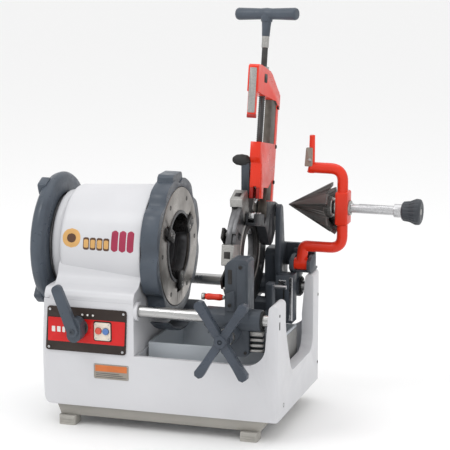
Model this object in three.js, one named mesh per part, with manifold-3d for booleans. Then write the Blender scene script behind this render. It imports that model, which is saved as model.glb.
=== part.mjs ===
// A bench pipe threading machine: headstock with a hammer chuck, two rails, and a carriage that
// carries a die head, a pipe cutter and a reamer. Millimetres, +Z up, front of the machine towards -Y,
// spindle along X with the chuck facing +X.
import * as THREE from 'three';
import { mergeVertices } from 'three/addons/utils/BufferGeometryUtils.js';
import Module from 'manifold-3d';

const wasm = await Module();
wasm.setup();

// ---- driving dimensions ----
const GAP = 0.3; // between neighbouring pieces
const BASE_LENGTH = 600; // top of the housing, from x = -600 to x = 0
const BASE_LEFT = -609; // where the housing's end wall stands out furthest
const BASE_CORNER = 10; // radius of the housing's upright corners
const BASE_DEPTH = 410; // housing, from y = 0 to y = 410
const HOUSING_BOTTOM = 55;
const RIM_Z = 194; // top of the tray wall
const HORN_Z = 347; // top of the two posts that hold the rail ends
const HORN_THICK = 30;
const BLOCK_RIGHT = -366; // right face of the headstock block
const BLOCK_TOP = 326;
const WALL = 12;
const DECK_Z = 150; // top of the deck under the headstock

const SPINDLE_Y = 205;
const SPINDLE_Z = 431;
const BORE_R = 60; // lets a 4-inch pipe through
const TUBE_R = 74;

const RAIL_R = 14.5;
const RAIL_Z = 304;
const FRONT_RAIL_Y = 21;
const BACK_RAIL_Y = 389;

const DRUM_R_RIGHT = 155;
const DRUM_R_LEFT = 143;
const CHUCK_R = 150;
const HAND_RING_R = 172;
const REAR_RING_R = 172;
const CHUCK_FRONT = -315;

const GEAR_MODULE = 6;
const GEAR_TEETH = 40;
const PINION_TEETH = 10;
const GEAR_LEFT = -552;
const GEAR_RIGHT = -530;
const PINION_Z = SPINDLE_Z - GEAR_MODULE * (GEAR_TEETH + PINION_TEETH) / 2;

const FEED_MODULE = 3;
const FEED_TEETH = 12;
const FEED_R = FEED_MODULE * FEED_TEETH / 2; // rack pinion's pitch radius
const WHEEL_X = -117;
const WHEEL_Z = 274;
const SPOKE_LENGTH = 110;
const SPOKE_ANGLE = 57; // of each spoke from the horizontal, in degrees

const DIE_LEFT = -152;
const DIE_RIGHT = -128;
const DIE_HEAD_R = 146;
const DIE_PIVOT_Y = 378;
const DIE_PIVOT_Z = 431;

const CUTTER_LEFT = -125;
const CUTTER_RIGHT = -99;
const CUTTER_MID = (CUTTER_LEFT + CUTTER_RIGHT) / 2;
const CUTTER_TILT = 12; // degrees that the raised cutter leans back
const PIPE_Y = 205; // where a cut pipe's axis lies in the raised cutter
const PIPE_Z = 590;
const CUTTER_PIVOT_Y = 343;
const CUTTER_PIVOT_Z = 510.5;

const REAMER_PIVOT_Y = 345;
const REAMER_PIVOT_Z = 374;
const REAMER_Y = 352; // axis of the raised reamer
const REAMER_Z = 525;
const CONE_R = 63;
const CONE_LENGTH = 113;
const CONE_TIP = -68;
const REAMER_TUBE_R = 14;

// ---- finishes ----
const finish = (color, roughness, metalness) => () =>
  new THREE.MeshStandardMaterial({ color, roughness, metalness });
const whitePaint = finish(0xe6e6ec, 0.4, 0);
const underPaint = finish(0x96948c, 0.6, 0);
const greyPaint = finish(0x5c6068, 0.45, 0.1);
const ringPaint = finish(0x5f6975, 0.4, 0.1);
const redPaint = finish(0xd71e0f, 0.35, 0);
const blackSteel = finish(0x28282b, 0.5, 0.6);
const brightSteel = finish(0xc8cacd, 0.25, 1);
const satinSteel = finish(0xa09d98, 0.35, 1);
const castIron = finish(0x55565a, 0.7, 0.5);
const bearingSteel = finish(0x9a9a9e, 0.3, 1);
const rubber = finish(0x2b2b2b, 0.8, 0);
const panelPlastic = finish(0x281e19, 0.5, 0);
const palePlastic = finish(0xe8dccc, 0.5, 0);
const redButton = finish(0xd8564f, 0.4, 0);
const blueButton = finish(0x4f6fae, 0.4, 0);
const knobPlastic = finish(0x3c3f44, 0.5, 0);
const motorPaint = finish(0x3d5a70, 0.5, 0.2);

// ---- solids ----
// Turns a closed geometry into a solid whose shared corners are merged and whose faces point out.
function solid(geometry) {
  const bare = geometry.index ? geometry.toNonIndexed() : geometry.clone();
  bare.deleteAttribute('normal');
  bare.deleteAttribute('uv');
  const merged = mergeVertices(bare, 1e-3);
  const points = merged.attributes.position.array;
  const index = merged.index.array;
  const kept = [];
  for (let i = 0; i < index.length; i += 3) {
    const [a, b, c] = [index[i], index[i + 1], index[i + 2]];
    if (a !== b && b !== c && a !== c) kept.push(a, b, c);
  }
  const corner = i => new THREE.Vector3().fromArray(points, 3 * i);
  let volume = 0;
  for (let i = 0; i < kept.length; i += 3) {
    volume += corner(kept[i]).dot(corner(kept[i + 1]).cross(corner(kept[i + 2])));
  }
  if (volume < 0) kept.reverse();
  return new wasm.Manifold(new wasm.Mesh({
    numProp: 3,
    vertProperties: new Float32Array(points),
    triVerts: new Uint32Array(kept),
  }));
}

function mesh(name, body, material) {
  const made = body.getMesh();
  const geometry = new THREE.BufferGeometry();
  geometry.setAttribute('position', new THREE.BufferAttribute(made.vertProperties, 3));
  geometry.setIndex(new THREE.BufferAttribute(made.triVerts, 1));
  geometry.computeVertexNormals();
  const piece = new THREE.Mesh(geometry, material());
  piece.name = name;
  return piece;
}

const join = (...solids) => solids.reduce((whole, next) => whole.add(next));
const cut = (body, ...tools) => tools.reduce((rest, tool) => rest.subtract(tool), body);

function box(x0, x1, y0, y1, z0, z1) {
  const block = new THREE.BoxGeometry(x1 - x0, y1 - y0, z1 - z0);
  return solid(block.translate((x0 + x1) / 2, (y0 + y1) / 2, (z0 + z1) / 2));
}

// Round bars along each axis.
function barX(y, z, radius, x0, x1, sides = 24) {
  const bar = new THREE.CylinderGeometry(radius, radius, x1 - x0, sides).rotateZ(Math.PI / 2);
  return solid(bar.translate((x0 + x1) / 2, y, z));
}

function barY(x, z, radius, y0, y1, sides = 24) {
  return solid(new THREE.CylinderGeometry(radius, radius, y1 - y0, sides).translate(x, (y0 + y1) / 2, z));
}

function barZ(x, y, radius, z0, z1, sides = 24) {
  const bar = new THREE.CylinderGeometry(radius, radius, z1 - z0, sides).rotateX(Math.PI / 2);
  return solid(bar.translate(x, y, (z0 + z1) / 2));
}

const outline = points => new THREE.Shape(points.map(([a, b]) => new THREE.Vector2(a, b)));

// Prisms: an outline in the plane across the named axis, drawn out along it.
function prismX(shape, x0, x1, curveSegments = 8) {
  const body = new THREE.ExtrudeGeometry(shape, { depth: x1 - x0, bevelEnabled: false, curveSegments });
  const turn = new THREE.Matrix4().makeBasis(
    new THREE.Vector3(0, 1, 0), new THREE.Vector3(0, 0, 1), new THREE.Vector3(1, 0, 0));
  return solid(body.applyMatrix4(turn).translate(x0, 0, 0));
}

function prismY(shape, y0, y1, curveSegments = 8) {
  const body = new THREE.ExtrudeGeometry(shape, { depth: y1 - y0, bevelEnabled: false, curveSegments });
  return solid(body.rotateX(Math.PI / 2).translate(0, y1, 0));
}

function prismZ(shape, z0, z1, curveSegments = 8) {
  const body = new THREE.ExtrudeGeometry(shape, { depth: z1 - z0, bevelEnabled: false, curveSegments });
  return solid(body.translate(0, 0, z0));
}

function roundedRectangle(a0, a1, b0, b1, radius) {
  const shape = new THREE.Shape();
  shape.moveTo(a0 + radius, b0);
  shape.lineTo(a1 - radius, b0);
  shape.absarc(a1 - radius, b0 + radius, radius, -Math.PI / 2, 0);
  shape.lineTo(a1, b1 - radius);
  shape.absarc(a1 - radius, b1 - radius, radius, 0, Math.PI / 2);
  shape.lineTo(a0 + radius, b1);
  shape.absarc(a0 + radius, b1 - radius, radius, Math.PI / 2, Math.PI);
  shape.lineTo(a0, b0 + radius);
  shape.absarc(a0 + radius, b0 + radius, radius, Math.PI, Math.PI * 1.5);
  return shape;
}

// A closed outline whose corners are rounded off over `reach`.
function roundedOutline(points, reach) {
  const shape = new THREE.Shape();
  points.forEach(([a, b], i) => {
    const corner = new THREE.Vector2(a, b);
    const towards = other => new THREE.Vector2(...other).sub(corner).setLength(reach).add(corner);
    const before = towards(points[(i + points.length - 1) % points.length]);
    const after = towards(points[(i + 1) % points.length]);
    if (i === 0) shape.moveTo(before.x, before.y);
    else shape.lineTo(before.x, before.y);
    shape.quadraticCurveTo(a, b, after.x, after.y);
  });
  shape.closePath();
  return shape;
}

// A turned body about the spindle axis or a parallel one, from [radius, x] points.
function turned(profile, y = SPINDLE_Y, z = SPINDLE_Z, sides = 32) {
  const points = profile.map(([radius, x]) => new THREE.Vector2(radius, x));
  const body = new THREE.LatheGeometry(points, sides).rotateZ(-Math.PI / 2);
  return solid(body.translate(0, y, z));
}

// A flat ring or tube about the spindle axis or a parallel one.
function ring(inner, outer, x0, x1, y = SPINDLE_Y, z = SPINDLE_Z, sides = 32) {
  return turned([[inner, x0], [outer, x0], [outer, x1], [inner, x1], [inner, x0]], y, z, sides);
}

// A toothed outline, with the first tooth at the angle `start`.
function gearOutline(teeth, module, start, y, z) {
  const pitch = teeth * module / 2;
  const step = Math.PI * 2 / teeth;
  const steps = [[-0.27, -1.2], [-0.1, 0.9], [0.1, 0.9], [0.27, -1.2]]; // angle share, height
  const points = [];
  for (let tooth = 0; tooth < teeth; tooth += 1) {
    for (const [share, height] of steps) {
      const angle = start + (tooth + share) * step;
      const radius = pitch + height * module;
      points.push([y + radius * Math.cos(angle), z + radius * Math.sin(angle)]);
    }
  }
  return outline(points);
}

// Copies a body round the spindle axis.
const aboutSpindle = (body, degrees) =>
  body.translate([0, -SPINDLE_Y, -SPINDLE_Z]).rotate([degrees, 0, 0]).translate([0, SPINDLE_Y, SPINDLE_Z]);

// ---- base ----
function baseHousing() {
  const side = new THREE.Shape();
  const postTop = 11; // radius over the top of the posts
  const sweep = 50; // radius of the fillet from the tray rim up to the posts
  side.moveTo(-585, HOUSING_BOTTOM);
  side.lineTo(0, HOUSING_BOTTOM);
  side.lineTo(0, HORN_Z - postTop);
  side.absarc(-postTop, HORN_Z - postTop, postTop, 0, Math.PI);
  side.lineTo(-HORN_THICK, RIM_Z + sweep);
  side.absarc(-HORN_THICK - sweep, RIM_Z + sweep, sweep, 0, -Math.PI / 2, true);
  side.lineTo(BLOCK_RIGHT, RIM_Z);
  side.lineTo(BLOCK_RIGHT, BLOCK_TOP);
  side.lineTo(-BASE_LENGTH, BLOCK_TOP);
  side.lineTo(BASE_LEFT, 170);
  side.lineTo(-604, 80);
  side.quadraticCurveTo(-602, HOUSING_BOTTOM, -585, HOUSING_BOTTOM);
  const plan = prismZ(roundedRectangle(BASE_LEFT, 0, 0, BASE_DEPTH, BASE_CORNER), HOUSING_BOTTOM - 1, HORN_Z + 1);
  const room = (bottom, top) =>
    box(-BASE_LENGTH + WALL, BLOCK_RIGHT - WALL, WALL, BASE_DEPTH - WALL, bottom, top);
  const tray = box(BLOCK_RIGHT + 6, -HORN_THICK, WALL, BASE_DEPTH - WALL, HOUSING_BOTTOM + WALL, HORN_Z + 10);
  const frontHole = barX(FRONT_RAIL_Y, RAIL_Z, RAIL_R + GAP, -390, -5);
  const backHole = barX(BACK_RAIL_Y, RAIL_Z, RAIL_R + GAP, -390, -5);
  return cut(prismY(side, 0, BASE_DEPTH, 6).intersect(plan), room(50, DECK_Z - WALL),
    room(DECK_Z, BLOCK_TOP + 1), tray, endOpening(), frontHole, backHole);
}

// The gap between the two posts, through the right end wall.
function endOpening() {
  const end = new THREE.Shape();
  end.moveTo(77, HORN_Z + 10);
  end.lineTo(77, 292);
  end.quadraticCurveTo(79, 262, 103, 214);
  end.lineTo(125, 170);
  end.quadraticCurveTo(135, 150, 158, 150);
  end.lineTo(306, 150);
  end.absarc(306, 190, 40, -Math.PI / 2, 0);
  end.lineTo(346, HORN_Z + 10);
  return prismX(end, -HORN_THICK - 5, 5, 6);
}

const LEDGE_TOP = 353; // of the cover's end beyond the drum

// The upper half of the headstock cover: a skirt that grows into a slightly tapered drum.
function skirtOutline(inset) {
  const half = [
    [0, BLOCK_TOP + GAP], [0, 334], [5, 346], [16, 353], [38, 358], [55, 370], [64, 390], [100, 431]];
  const front = half.map(([y, z]) => [y + inset, z - inset]);
  const back = front.map(([y, z]) => [BASE_DEPTH - y, z]).reverse();
  return outline([...front, ...back]);
}

function drumCover() {
  const left = -BASE_LENGTH;
  const drumLeft = left + 14;
  const drum = turned([[0, drumLeft], [DRUM_R_LEFT - 6, drumLeft], [DRUM_R_LEFT, drumLeft + 6],
    [DRUM_R_RIGHT, BLOCK_RIGHT], [0, BLOCK_RIGHT]], SPINDLE_Y, SPINDLE_Z, 40);
  const skirt = prismX(skirtOutline(0), drumLeft, BLOCK_RIGHT);
  const ledge = prismX(outline([[0, 320], [0, 334], [5, 346], [16, LEDGE_TOP], [BASE_DEPTH - 16, LEDGE_TOP],
    [BASE_DEPTH - 5, 346], [BASE_DEPTH, 334], [BASE_DEPTH, 320]]), left, drumLeft + 1);
  const plan = prismZ(roundedRectangle(left, BLOCK_RIGHT, 0, BASE_DEPTH, BASE_CORNER), 300, 700);
  const below = box(left, BLOCK_RIGHT, -1, BASE_DEPTH + 1, 200, BLOCK_TOP + GAP);
  const inside = join(
    turned([[0, drumLeft + 6], [DRUM_R_LEFT - 6, drumLeft + 6], [DRUM_R_RIGHT - 6, BLOCK_RIGHT - 6],
      [0, BLOCK_RIGHT - 6]]),
    prismX(skirtOutline(8), drumLeft + 6, BLOCK_RIGHT - WALL),
    box(left + WALL, BLOCK_RIGHT - WALL, 20, BASE_DEPTH - 20, 300, 344));
  const bore = barX(SPINDLE_Y, SPINDLE_Z, 100, left, BLOCK_RIGHT + 1, 40);
  return cut(join(drum, skirt, ledge).intersect(plan), below, inside, bore);
}

function underFrame() {
  const side = outline([[-578, HOUSING_BOTTOM - GAP], [-566, 24.3], [-46, 24.3], [-30, HOUSING_BOTTOM - GAP]]);
  const hollow = box(-552, -60, 34, 376, 20, 62);
  return cut(prismY(side, 16, 394), hollow);
}

function foot(x, y) {
  return prismZ(roundedRectangle(x - 22, x + 22, y - 22, y + 22, 6), 0, 24, 3);
}

const PANEL = [[-597, 195], [-386, 195], [-382, 308], [-590, 308]]; // x, z of its corners
const LEVER_X = -507;
const LEVER_Z = 259;
const SWITCH_PLATE = [-466, -424, 230, 275]; // x, then z
const BUTTON_Z = 254;
const BUTTON_R = 8;
const BUTTON_XS = { stop_button: -454.5, start_button: -435.5 };

function controlPanel() {
  const plate = prismY(roundedOutline(PANEL, 8), -4, -GAP, 4);
  return join(plate, barY(LEVER_X, LEVER_Z, 20, -8, -2, 24));
}

function switchPlate() {
  const plate = prismY(roundedRectangle(...SWITCH_PLATE, 5), -8, -4 - GAP, 4);
  const holes = Object.values(BUTTON_XS).map(x => barY(x, BUTTON_Z, BUTTON_R + 0.5, -9, -3, 20));
  return cut(plate, ...holes);
}

const button = x => barY(x, BUTTON_Z, BUTTON_R, -14, -7.6, 20);

const rail = y => barX(y, RAIL_Z, RAIL_R, -388, -7, 28);

// Straight rack behind the front rail; its teeth point down onto the pinion's.
function feedRack() {
  const pitch = Math.PI * FEED_MODULE;
  const line = WHEEL_Z + FEED_R;
  const left = BLOCK_RIGHT + 6 + GAP;
  const right = -27;
  const points = [[left, line + 12], [right, line + 12], [right, line + 4]];
  const shares = [[0.24, 1.25], [0.08, -0.85], [-0.08, -0.85], [-0.24, 1.25]];
  for (let tooth = 8; tooth >= -23; tooth -= 1) {
    for (const [share, height] of shares) {
      points.push([WHEEL_X + (tooth + 0.5 + share) * pitch, line + height * FEED_MODULE]);
    }
  }
  points.push([left, line + 4]);
  return prismY(outline(points), 50, 62);
}

// ---- headstock ----
const BEARING_R = 95;
const FRONT_PLATE = [-398, -384];
const REAR_PLATE = [-578, -564];

function headstockFrame() {
  const web = ([x0, x1]) => join(
    barX(SPINDLE_Y, SPINDLE_Z, BEARING_R + 14, x0, x1, 40),
    box(x0, x1, 115, 295, DECK_Z + GAP, SPINDLE_Z));
  const floor = box(REAR_PLATE[0], FRONT_PLATE[1], 115, 295, DECK_Z + GAP, 164);
  const bores = barX(SPINDLE_Y, SPINDLE_Z, BEARING_R, -600, -370, 40);
  const motorHole = barX(SPINDLE_Y, PINION_Z, 64, FRONT_PLATE[0] - 1, FRONT_PLATE[1] + 1, 24);
  return cut(join(web(FRONT_PLATE), web(REAR_PLATE), floor), bores, motorHole);
}

const bearing = ([x0, x1]) => ring(TUBE_R + 0.8, BEARING_R - GAP, x0, x1);

function motor() {
  const shell = turned([[0, -500], [48, -500], [58, -494], [58, -412], [50, -402], [0, -402]],
    SPINDLE_Y, PINION_Z, 28);
  return join(shell, box(-490, -420, 165, 245, 164 + GAP, PINION_Z - 40));
}

function gearbox() {
  const casing = box(-526, -500 - GAP, 150, 260, 226, 336);
  return cut(casing, barX(SPINDLE_Y, PINION_Z, 10 + GAP, -530, -510, 16));
}

function drivePinion() {
  const teeth = prismX(gearOutline(PINION_TEETH, GEAR_MODULE, Math.PI / 2 + Math.PI / PINION_TEETH,
    SPINDLE_Y, PINION_Z), GEAR_LEFT, GEAR_RIGHT);
  return join(teeth, barX(SPINDLE_Y, PINION_Z, 10, GEAR_LEFT, -512, 16));
}

function spindleGear() {
  const teeth = prismX(gearOutline(GEAR_TEETH, GEAR_MODULE, -Math.PI / 2, SPINDLE_Y, SPINDLE_Z),
    GEAR_LEFT, GEAR_RIGHT);
  return cut(teeth, barX(SPINDLE_Y, SPINDLE_Z, TUBE_R + GAP, -560, -520, 40));
}

const CHUCK_BACK = -362;
const REAR_CHUCK = [-632, -614];
const REAR_CHUCK_R = 118;
const spindleTube = () => ring(BORE_R, TUBE_R, REAR_CHUCK[1] + GAP, CHUCK_BACK - GAP);
const rearCover = () => cut(
  turned([[TUBE_R + 3, -611], [122, -611], [128, -605], [128, -586 - GAP], [TUBE_R + 3, -586 - GAP],
    [TUBE_R + 3, -611]], SPINDLE_Y, SPINDLE_Z, 40),
  box(-BASE_LENGTH - 2, -580, 0, BASE_DEPTH, 200, LEDGE_TOP + GAP));

// ---- chucks ----
const JAW_ANGLES = [30, 150, 270];
const PLATE_BACK = CHUCK_FRONT - 7;
const JAW_WIDTH = 26;
const BITE_WIDTH = 18;

function radialBlock(inner, outer, width, x0, x1, degrees) {
  const block = box(x0, x1, SPINDLE_Y + inner, SPINDLE_Y + outer, SPINDLE_Z - width / 2, SPINDLE_Z + width / 2);
  return aboutSpindle(block, degrees);
}

function chuckBody() {
  const body = turned([[BORE_R, CHUCK_BACK], [CHUCK_R, CHUCK_BACK], [CHUCK_R, PLATE_BACK - GAP],
    [86, PLATE_BACK - GAP], [86, -346], [BORE_R, -346], [BORE_R, CHUCK_BACK]], SPINDLE_Y, SPINDLE_Z, 40);
  const slots = JAW_ANGLES.map(a => radialBlock(70, 136, JAW_WIDTH + 2 * GAP, -346, -320, a));
  return cut(body, ...slots);
}

function chuckJaw(degrees) {
  const stem = radialBlock(66, 118, JAW_WIDTH, -346 + GAP, PLATE_BACK - GAP, degrees);
  const bite = radialBlock(62, 108, BITE_WIDTH, -340, CHUCK_FRONT + 3, degrees);
  return join(stem, bite);
}

function facePlate() {
  const slots = JAW_ANGLES.map(a =>
    radialBlock(70, 112, BITE_WIDTH + 2 * GAP, PLATE_BACK - 1, CHUCK_FRONT + 1, a));
  return cut(ring(84, CHUCK_R, PLATE_BACK, CHUCK_FRONT, SPINDLE_Y, SPINDLE_Z, 40), ...slots);
}

// Twelve shallow lobes, and a flat striking lug at the top.
function handRing() {
  const points = [];
  const sides = 96;
  const lobes = 12;
  const phase = THREE.MathUtils.degToRad(8);
  for (let i = 0; i < sides; i += 1) {
    const angle = i * Math.PI * 2 / sides;
    const wave = Math.cos(lobes * (angle - phase));
    const radius = HAND_RING_R + 3 - 7 * Math.pow(Math.max(0, -wave), 3);
    points.push([SPINDLE_Y + radius * Math.cos(angle), SPINDLE_Z + radius * Math.sin(angle)]);
  }
  const lug = outline([[SPINDLE_Y - 44, 570], [SPINDLE_Y + 44, 570], [SPINDLE_Y + 36, 613],
    [SPINDLE_Y + 28, 618], [SPINDLE_Y - 28, 618], [SPINDLE_Y - 36, 613]]);
  const rim = join(prismX(outline(points), CHUCK_BACK + 2, CHUCK_FRONT - 1), prismX(lug, -359, -318));
  return cut(rim, barX(SPINDLE_Y, SPINDLE_Z, CHUCK_R + 1.2, -370, -310, 48));
}

function rearChuckBody() {
  const [x0, x1] = REAR_CHUCK;
  const slots = JAW_ANGLES.map(a => radialBlock(54, 108, 20 + 2 * GAP, x0 - 1, x0 + 14, a));
  return cut(ring(BORE_R, REAR_CHUCK_R, x0, x1), ...slots);
}

const rearJaw = degrees => radialBlock(62, 98, 20, REAR_CHUCK[0] + 1, REAR_CHUCK[0] + 14 - GAP, degrees);

function rearHandRing() {
  const inner = REAR_CHUCK_R + 4;
  const rim = turned([[inner, -651], [128, -655], [158, -655], [168, -649], [REAR_RING_R, -637],
    [REAR_RING_R, -631], [166, -621], [150, -617], [inner, -617], [inner, -651]], SPINDLE_Y, SPINDLE_Z, 40);
  const web = ring(64, inner + 4, -646, REAR_CHUCK[0] - 0.6);
  const grips = [112, 232, 352].map(a => radialBlock(140, 176, 40, -664, -640, a));
  return join(rim, web, ...grips);
}

// ---- trays inside the base ----
function chipTray() {
  const outer = box(-352, -42, 70, 340, 96, 214);
  return cut(outer, box(-346, -48, 76, 334, 102, 220));
}

function oilCatcher() {
  const shell = ring(206, 212, -350, -300, SPINDLE_Y, SPINDLE_Z, 40);
  return cut(shell, box(-400, -250, -50, 500, 262, 700));
}

const oilPump = () => join(box(-340, -290, 352, 392, 75, 140), barZ(-315, 372, 14, 130, 182, 16));

function powerInlet() {
  const body = box(-480, -430, BASE_DEPTH + GAP, BASE_DEPTH + 18, 120, 165);
  return cut(body, box(-471, -439, BASE_DEPTH + 8, BASE_DEPTH + 20, 130, 155));
}

// ---- shift lever ----
function shiftLever() {
  const tipX = -547;
  const tipZ = 360;
  const armDepth = [-54, -36];
  const along = new THREE.Vector2(tipZ - LEVER_Z, LEVER_X - tipX).normalize();
  const edge = (x, z, half) => [[x - along.x * half, z - along.y * half], [x + along.x * half, z + along.y * half]];
  const [rootA, rootB] = edge(LEVER_X, LEVER_Z, 14);
  const [tipA, tipB] = edge(tipX, tipZ, 12);
  const arm = prismY(outline([rootA, rootB, tipB, tipA]), ...armDepth);
  const boss = prismY(roundedRectangle(LEVER_X - 18, LEVER_X + 18, LEVER_Z - 30, LEVER_Z + 30, 17.9), -44, -9, 6);
  return join(arm, barY(tipX, tipZ, 12, ...armDepth, 20), barY(LEVER_X, LEVER_Z, 14, ...armDepth, 20), boss);
}

// ---- carriage ----
const SLEEVE_R = 27;
const SLEEVE = [-182, -44];
const BRIDGE_TOP = 284;
const BRACKET = { left: -60, right: -5 };

function carriageCasting() {
  const sleeve = y => barX(y, RAIL_Z, SLEEVE_R, ...SLEEVE, 28);
  const webs = [[SLEEVE[0], -152], [-92, -60]].flatMap(([x0, x1]) => [
    box(x0, x1, 24, 90, 262, BRIDGE_TOP), box(x0, x1, 320, BACK_RAIL_Y, 262, BRIDGE_TOP)]);
  const drain = box(-158, -84, 140, 270, 240, 300);
  const bridge = cut(box(SLEEVE[0], -60, 76, 334, 248, BRIDGE_TOP), drain);
  const pins = [
    barX(DIE_PIVOT_Y, DIE_PIVOT_Z, 9, -165, CAM_LEFT - 2, 16),
    barX(CUTTER_PIVOT_Y, CUTTER_PIVOT_Z, 8, CUTTER_LEFT + 1, CUTTER_RIGHT + 10, 16)];
  const whole = join(sleeve(FRONT_RAIL_Y), sleeve(BACK_RAIL_Y), frontPost(), apron(), ...webs, bridge,
    rearBlock(), ...pins);
  return cut(whole,
    barX(FRONT_RAIL_Y, RAIL_Z, RAIL_R + GAP, -200, -20, 28),
    barX(BACK_RAIL_Y, RAIL_Z, RAIL_R + GAP, -200, -20, 28),
    barY(WHEEL_X, WHEEL_Z, 9 + GAP, -40, 60, 16));
}

// The post in front of the die head, with one rounded shoulder.
function frontPost() {
  const side = new THREE.Shape();
  side.moveTo(-130, RAIL_Z);
  side.lineTo(-130, 432);
  side.absarc(-105, 432, 25, Math.PI, Math.PI / 2, true);
  side.lineTo(-78, 457);
  side.lineTo(-72, 451);
  side.lineTo(-72, RAIL_Z);
  return prismY(side, -6, 46);
}

// The housing of the handwheel's shaft, below the front sleeve.
const apron = () => join(
  prismY(roundedRectangle(-147, -76, 212, 310, 12), 14, 46, 4),
  barY(WHEEL_X, WHEEL_Z, 23, -34, 20));

// Uprights for the die head and the cutter, the plate between them, and the block beside the reamer.
function rearBlock() {
  const diePost = outline([[340, 270], [408, 270], [408, 400], [396, 446], [388, 450], [368, 450], [358, 438]]);
  const cutterPost = outline([[322, 262], [404, 262], [404, 410], [372, 424], [360, 500], [356, 518],
    [343, 526], [330, 518], [326, 500], [322, 424]]);
  return join(
    prismX(diePost, -172, DIE_LEFT - 2),
    prismX(cutterPost, CUTTER_RIGHT + 3, CUTTER_RIGHT + 15),
    box(CUTTER_RIGHT + 3, -30, 392, 404, HORN_Z + 10, 416),
    box(-87, SLEEVE[1], 300, 345, 225, 350));
}

function rearBracket() {
  const { left, right } = BRACKET;
  const base = join(box(left, SLEEVE[1], 348, 406, RAIL_Z + SLEEVE_R + GAP, 352),
    box(left, right, 348, 406, HORN_Z + 3, 356));
  const back = box(left, right, 376, 390, 350, 405);
  const ear = outline([[384, 350], [384, 394], [354, 394], [328, 384], [326, 364], [338, 352], [352, 350]]);
  const ears = join(prismX(ear, left, left + 11), prismX(ear, right - 9, right));
  const pin = barX(REAMER_PIVOT_Y, REAMER_PIVOT_Z, 8, left + 5, right - 4, 16);
  return join(base, back, ears, pin);
}

function carriageGrip() {
  const arm = barX(58, 345, 5, -204, -150, 12);
  const hub = barX(58, 345, 9, -208, -199, 6);
  const grip = turned([[0, -199], [7, -199], [8.5, -195], [8.5, -160], [7, -154], [0, -154]], 58, 345, 16);
  return join(arm, hub, grip);
}

function handwheel() {
  const spoke = degrees => {
    const half = outline([[0, -10], [70, -10], [SPOKE_LENGTH - 8, -12], [SPOKE_LENGTH, -6],
      [SPOKE_LENGTH, 6], [SPOKE_LENGTH - 8, 12], [70, 10], [0, 10]]);
    return prismY(half, -88, -66).rotate([0, -degrees, 0]).translate([WHEEL_X, 0, WHEEL_Z]);
  };
  const angles = [SPOKE_ANGLE, 180 - SPOKE_ANGLE, 180 + SPOKE_ANGLE, 360 - SPOKE_ANGLE];
  const hub = join(barY(WHEEL_X, WHEEL_Z, 15, -92, -40, 24), barY(WHEEL_X, WHEEL_Z, 19, -64, -40, 24));
  return cut(join(hub, ...angles.map(spoke)), barY(WHEEL_X, WHEEL_Z, 9 + GAP, -60, -30, 16));
}

function feedPinion() {
  const teeth = prismX(gearOutline(FEED_TEETH, FEED_MODULE, Math.PI / 2, 0, 0), 0, 10);
  const wheel = teeth.rotate([0, 0, 90]).translate([WHEEL_X, 51, WHEEL_Z]);
  return join(wheel, barY(WHEEL_X, WHEEL_Z, 9, -60 + GAP, 52, 16));
}

// ---- die head ----
const DIE_ANGLES = [45, 135, 225, 315];
const CAM_LEFT = DIE_RIGHT - 10;
const DIE_DEPTH = 10;

function dieHeadBody() {
  const disc = ring(64, DIE_HEAD_R - 4, DIE_LEFT, CAM_LEFT - GAP, SPINDLE_Y, SPINDLE_Z, 40);
  const ear = outline([[320, 396], [372, 408], [390, 416], [398, 431], [390, 446], [378, 451], [320, 470]]);
  const lug = cut(prismX(ear, DIE_LEFT, CAM_LEFT - GAP), barX(SPINDLE_Y, SPINDLE_Z, 100, -200, -100, 24));
  const slots = DIE_ANGLES.map(a =>
    radialBlock(50, 122, 26 + 2 * GAP, CAM_LEFT - GAP - DIE_DEPTH, CAM_LEFT + 5, a));
  const pinHole = barX(DIE_PIVOT_Y, DIE_PIVOT_Z, 9 + GAP, -200, -100, 16);
  return cut(join(disc, lug), ...slots, pinHole);
}

const threadDie = degrees => radialBlock(58, 104, 26, CAM_LEFT - DIE_DEPTH, CAM_LEFT - 2 * GAP, degrees);

function camPlate() {
  const disc = ring(66, DIE_HEAD_R, CAM_LEFT, DIE_RIGHT, SPINDLE_Y, SPINDLE_Z, 40);
  const notch = degrees => radialBlock(136, 158, 44, CAM_LEFT - 1, DIE_RIGHT + 1, degrees);
  const stem = box(CAM_LEFT, DIE_RIGHT - 1, SPINDLE_Y - 8, SPINDLE_Y + 8, SPINDLE_Z + 138, 655);
  const knob = barX(SPINDLE_Y, 663, 12, -163, DIE_RIGHT, 20);
  return join(cut(disc, notch(20), notch(160), notch(200)), stem, knob);
}

// ---- pipe cutter, in its own frame: origin on the cut pipe's axis, z along the screw ----
const LEAN = THREE.MathUtils.degToRad(CUTTER_TILT);
const [PIVOT_V, PIVOT_U] = new THREE.Vector2(CUTTER_PIVOT_Y - PIPE_Y, CUTTER_PIVOT_Z - PIPE_Z)
  .rotateAround(new THREE.Vector2(), LEAN);
const SCREW_R = 8;
const HANDLE_U = 434;
const GUIDE = { left: CUTTER_MID - 9, right: CUTTER_MID + 9, front: 64 }; // rail that the slide runs on
const SPINE_V = 105; // front of the frame's back
const SLIDE_TOP = 116;
const ROLLER_VS = { cutter_roller_front: -22, cutter_roller_back: 26 };
const ROLLER_U = -70;

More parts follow.
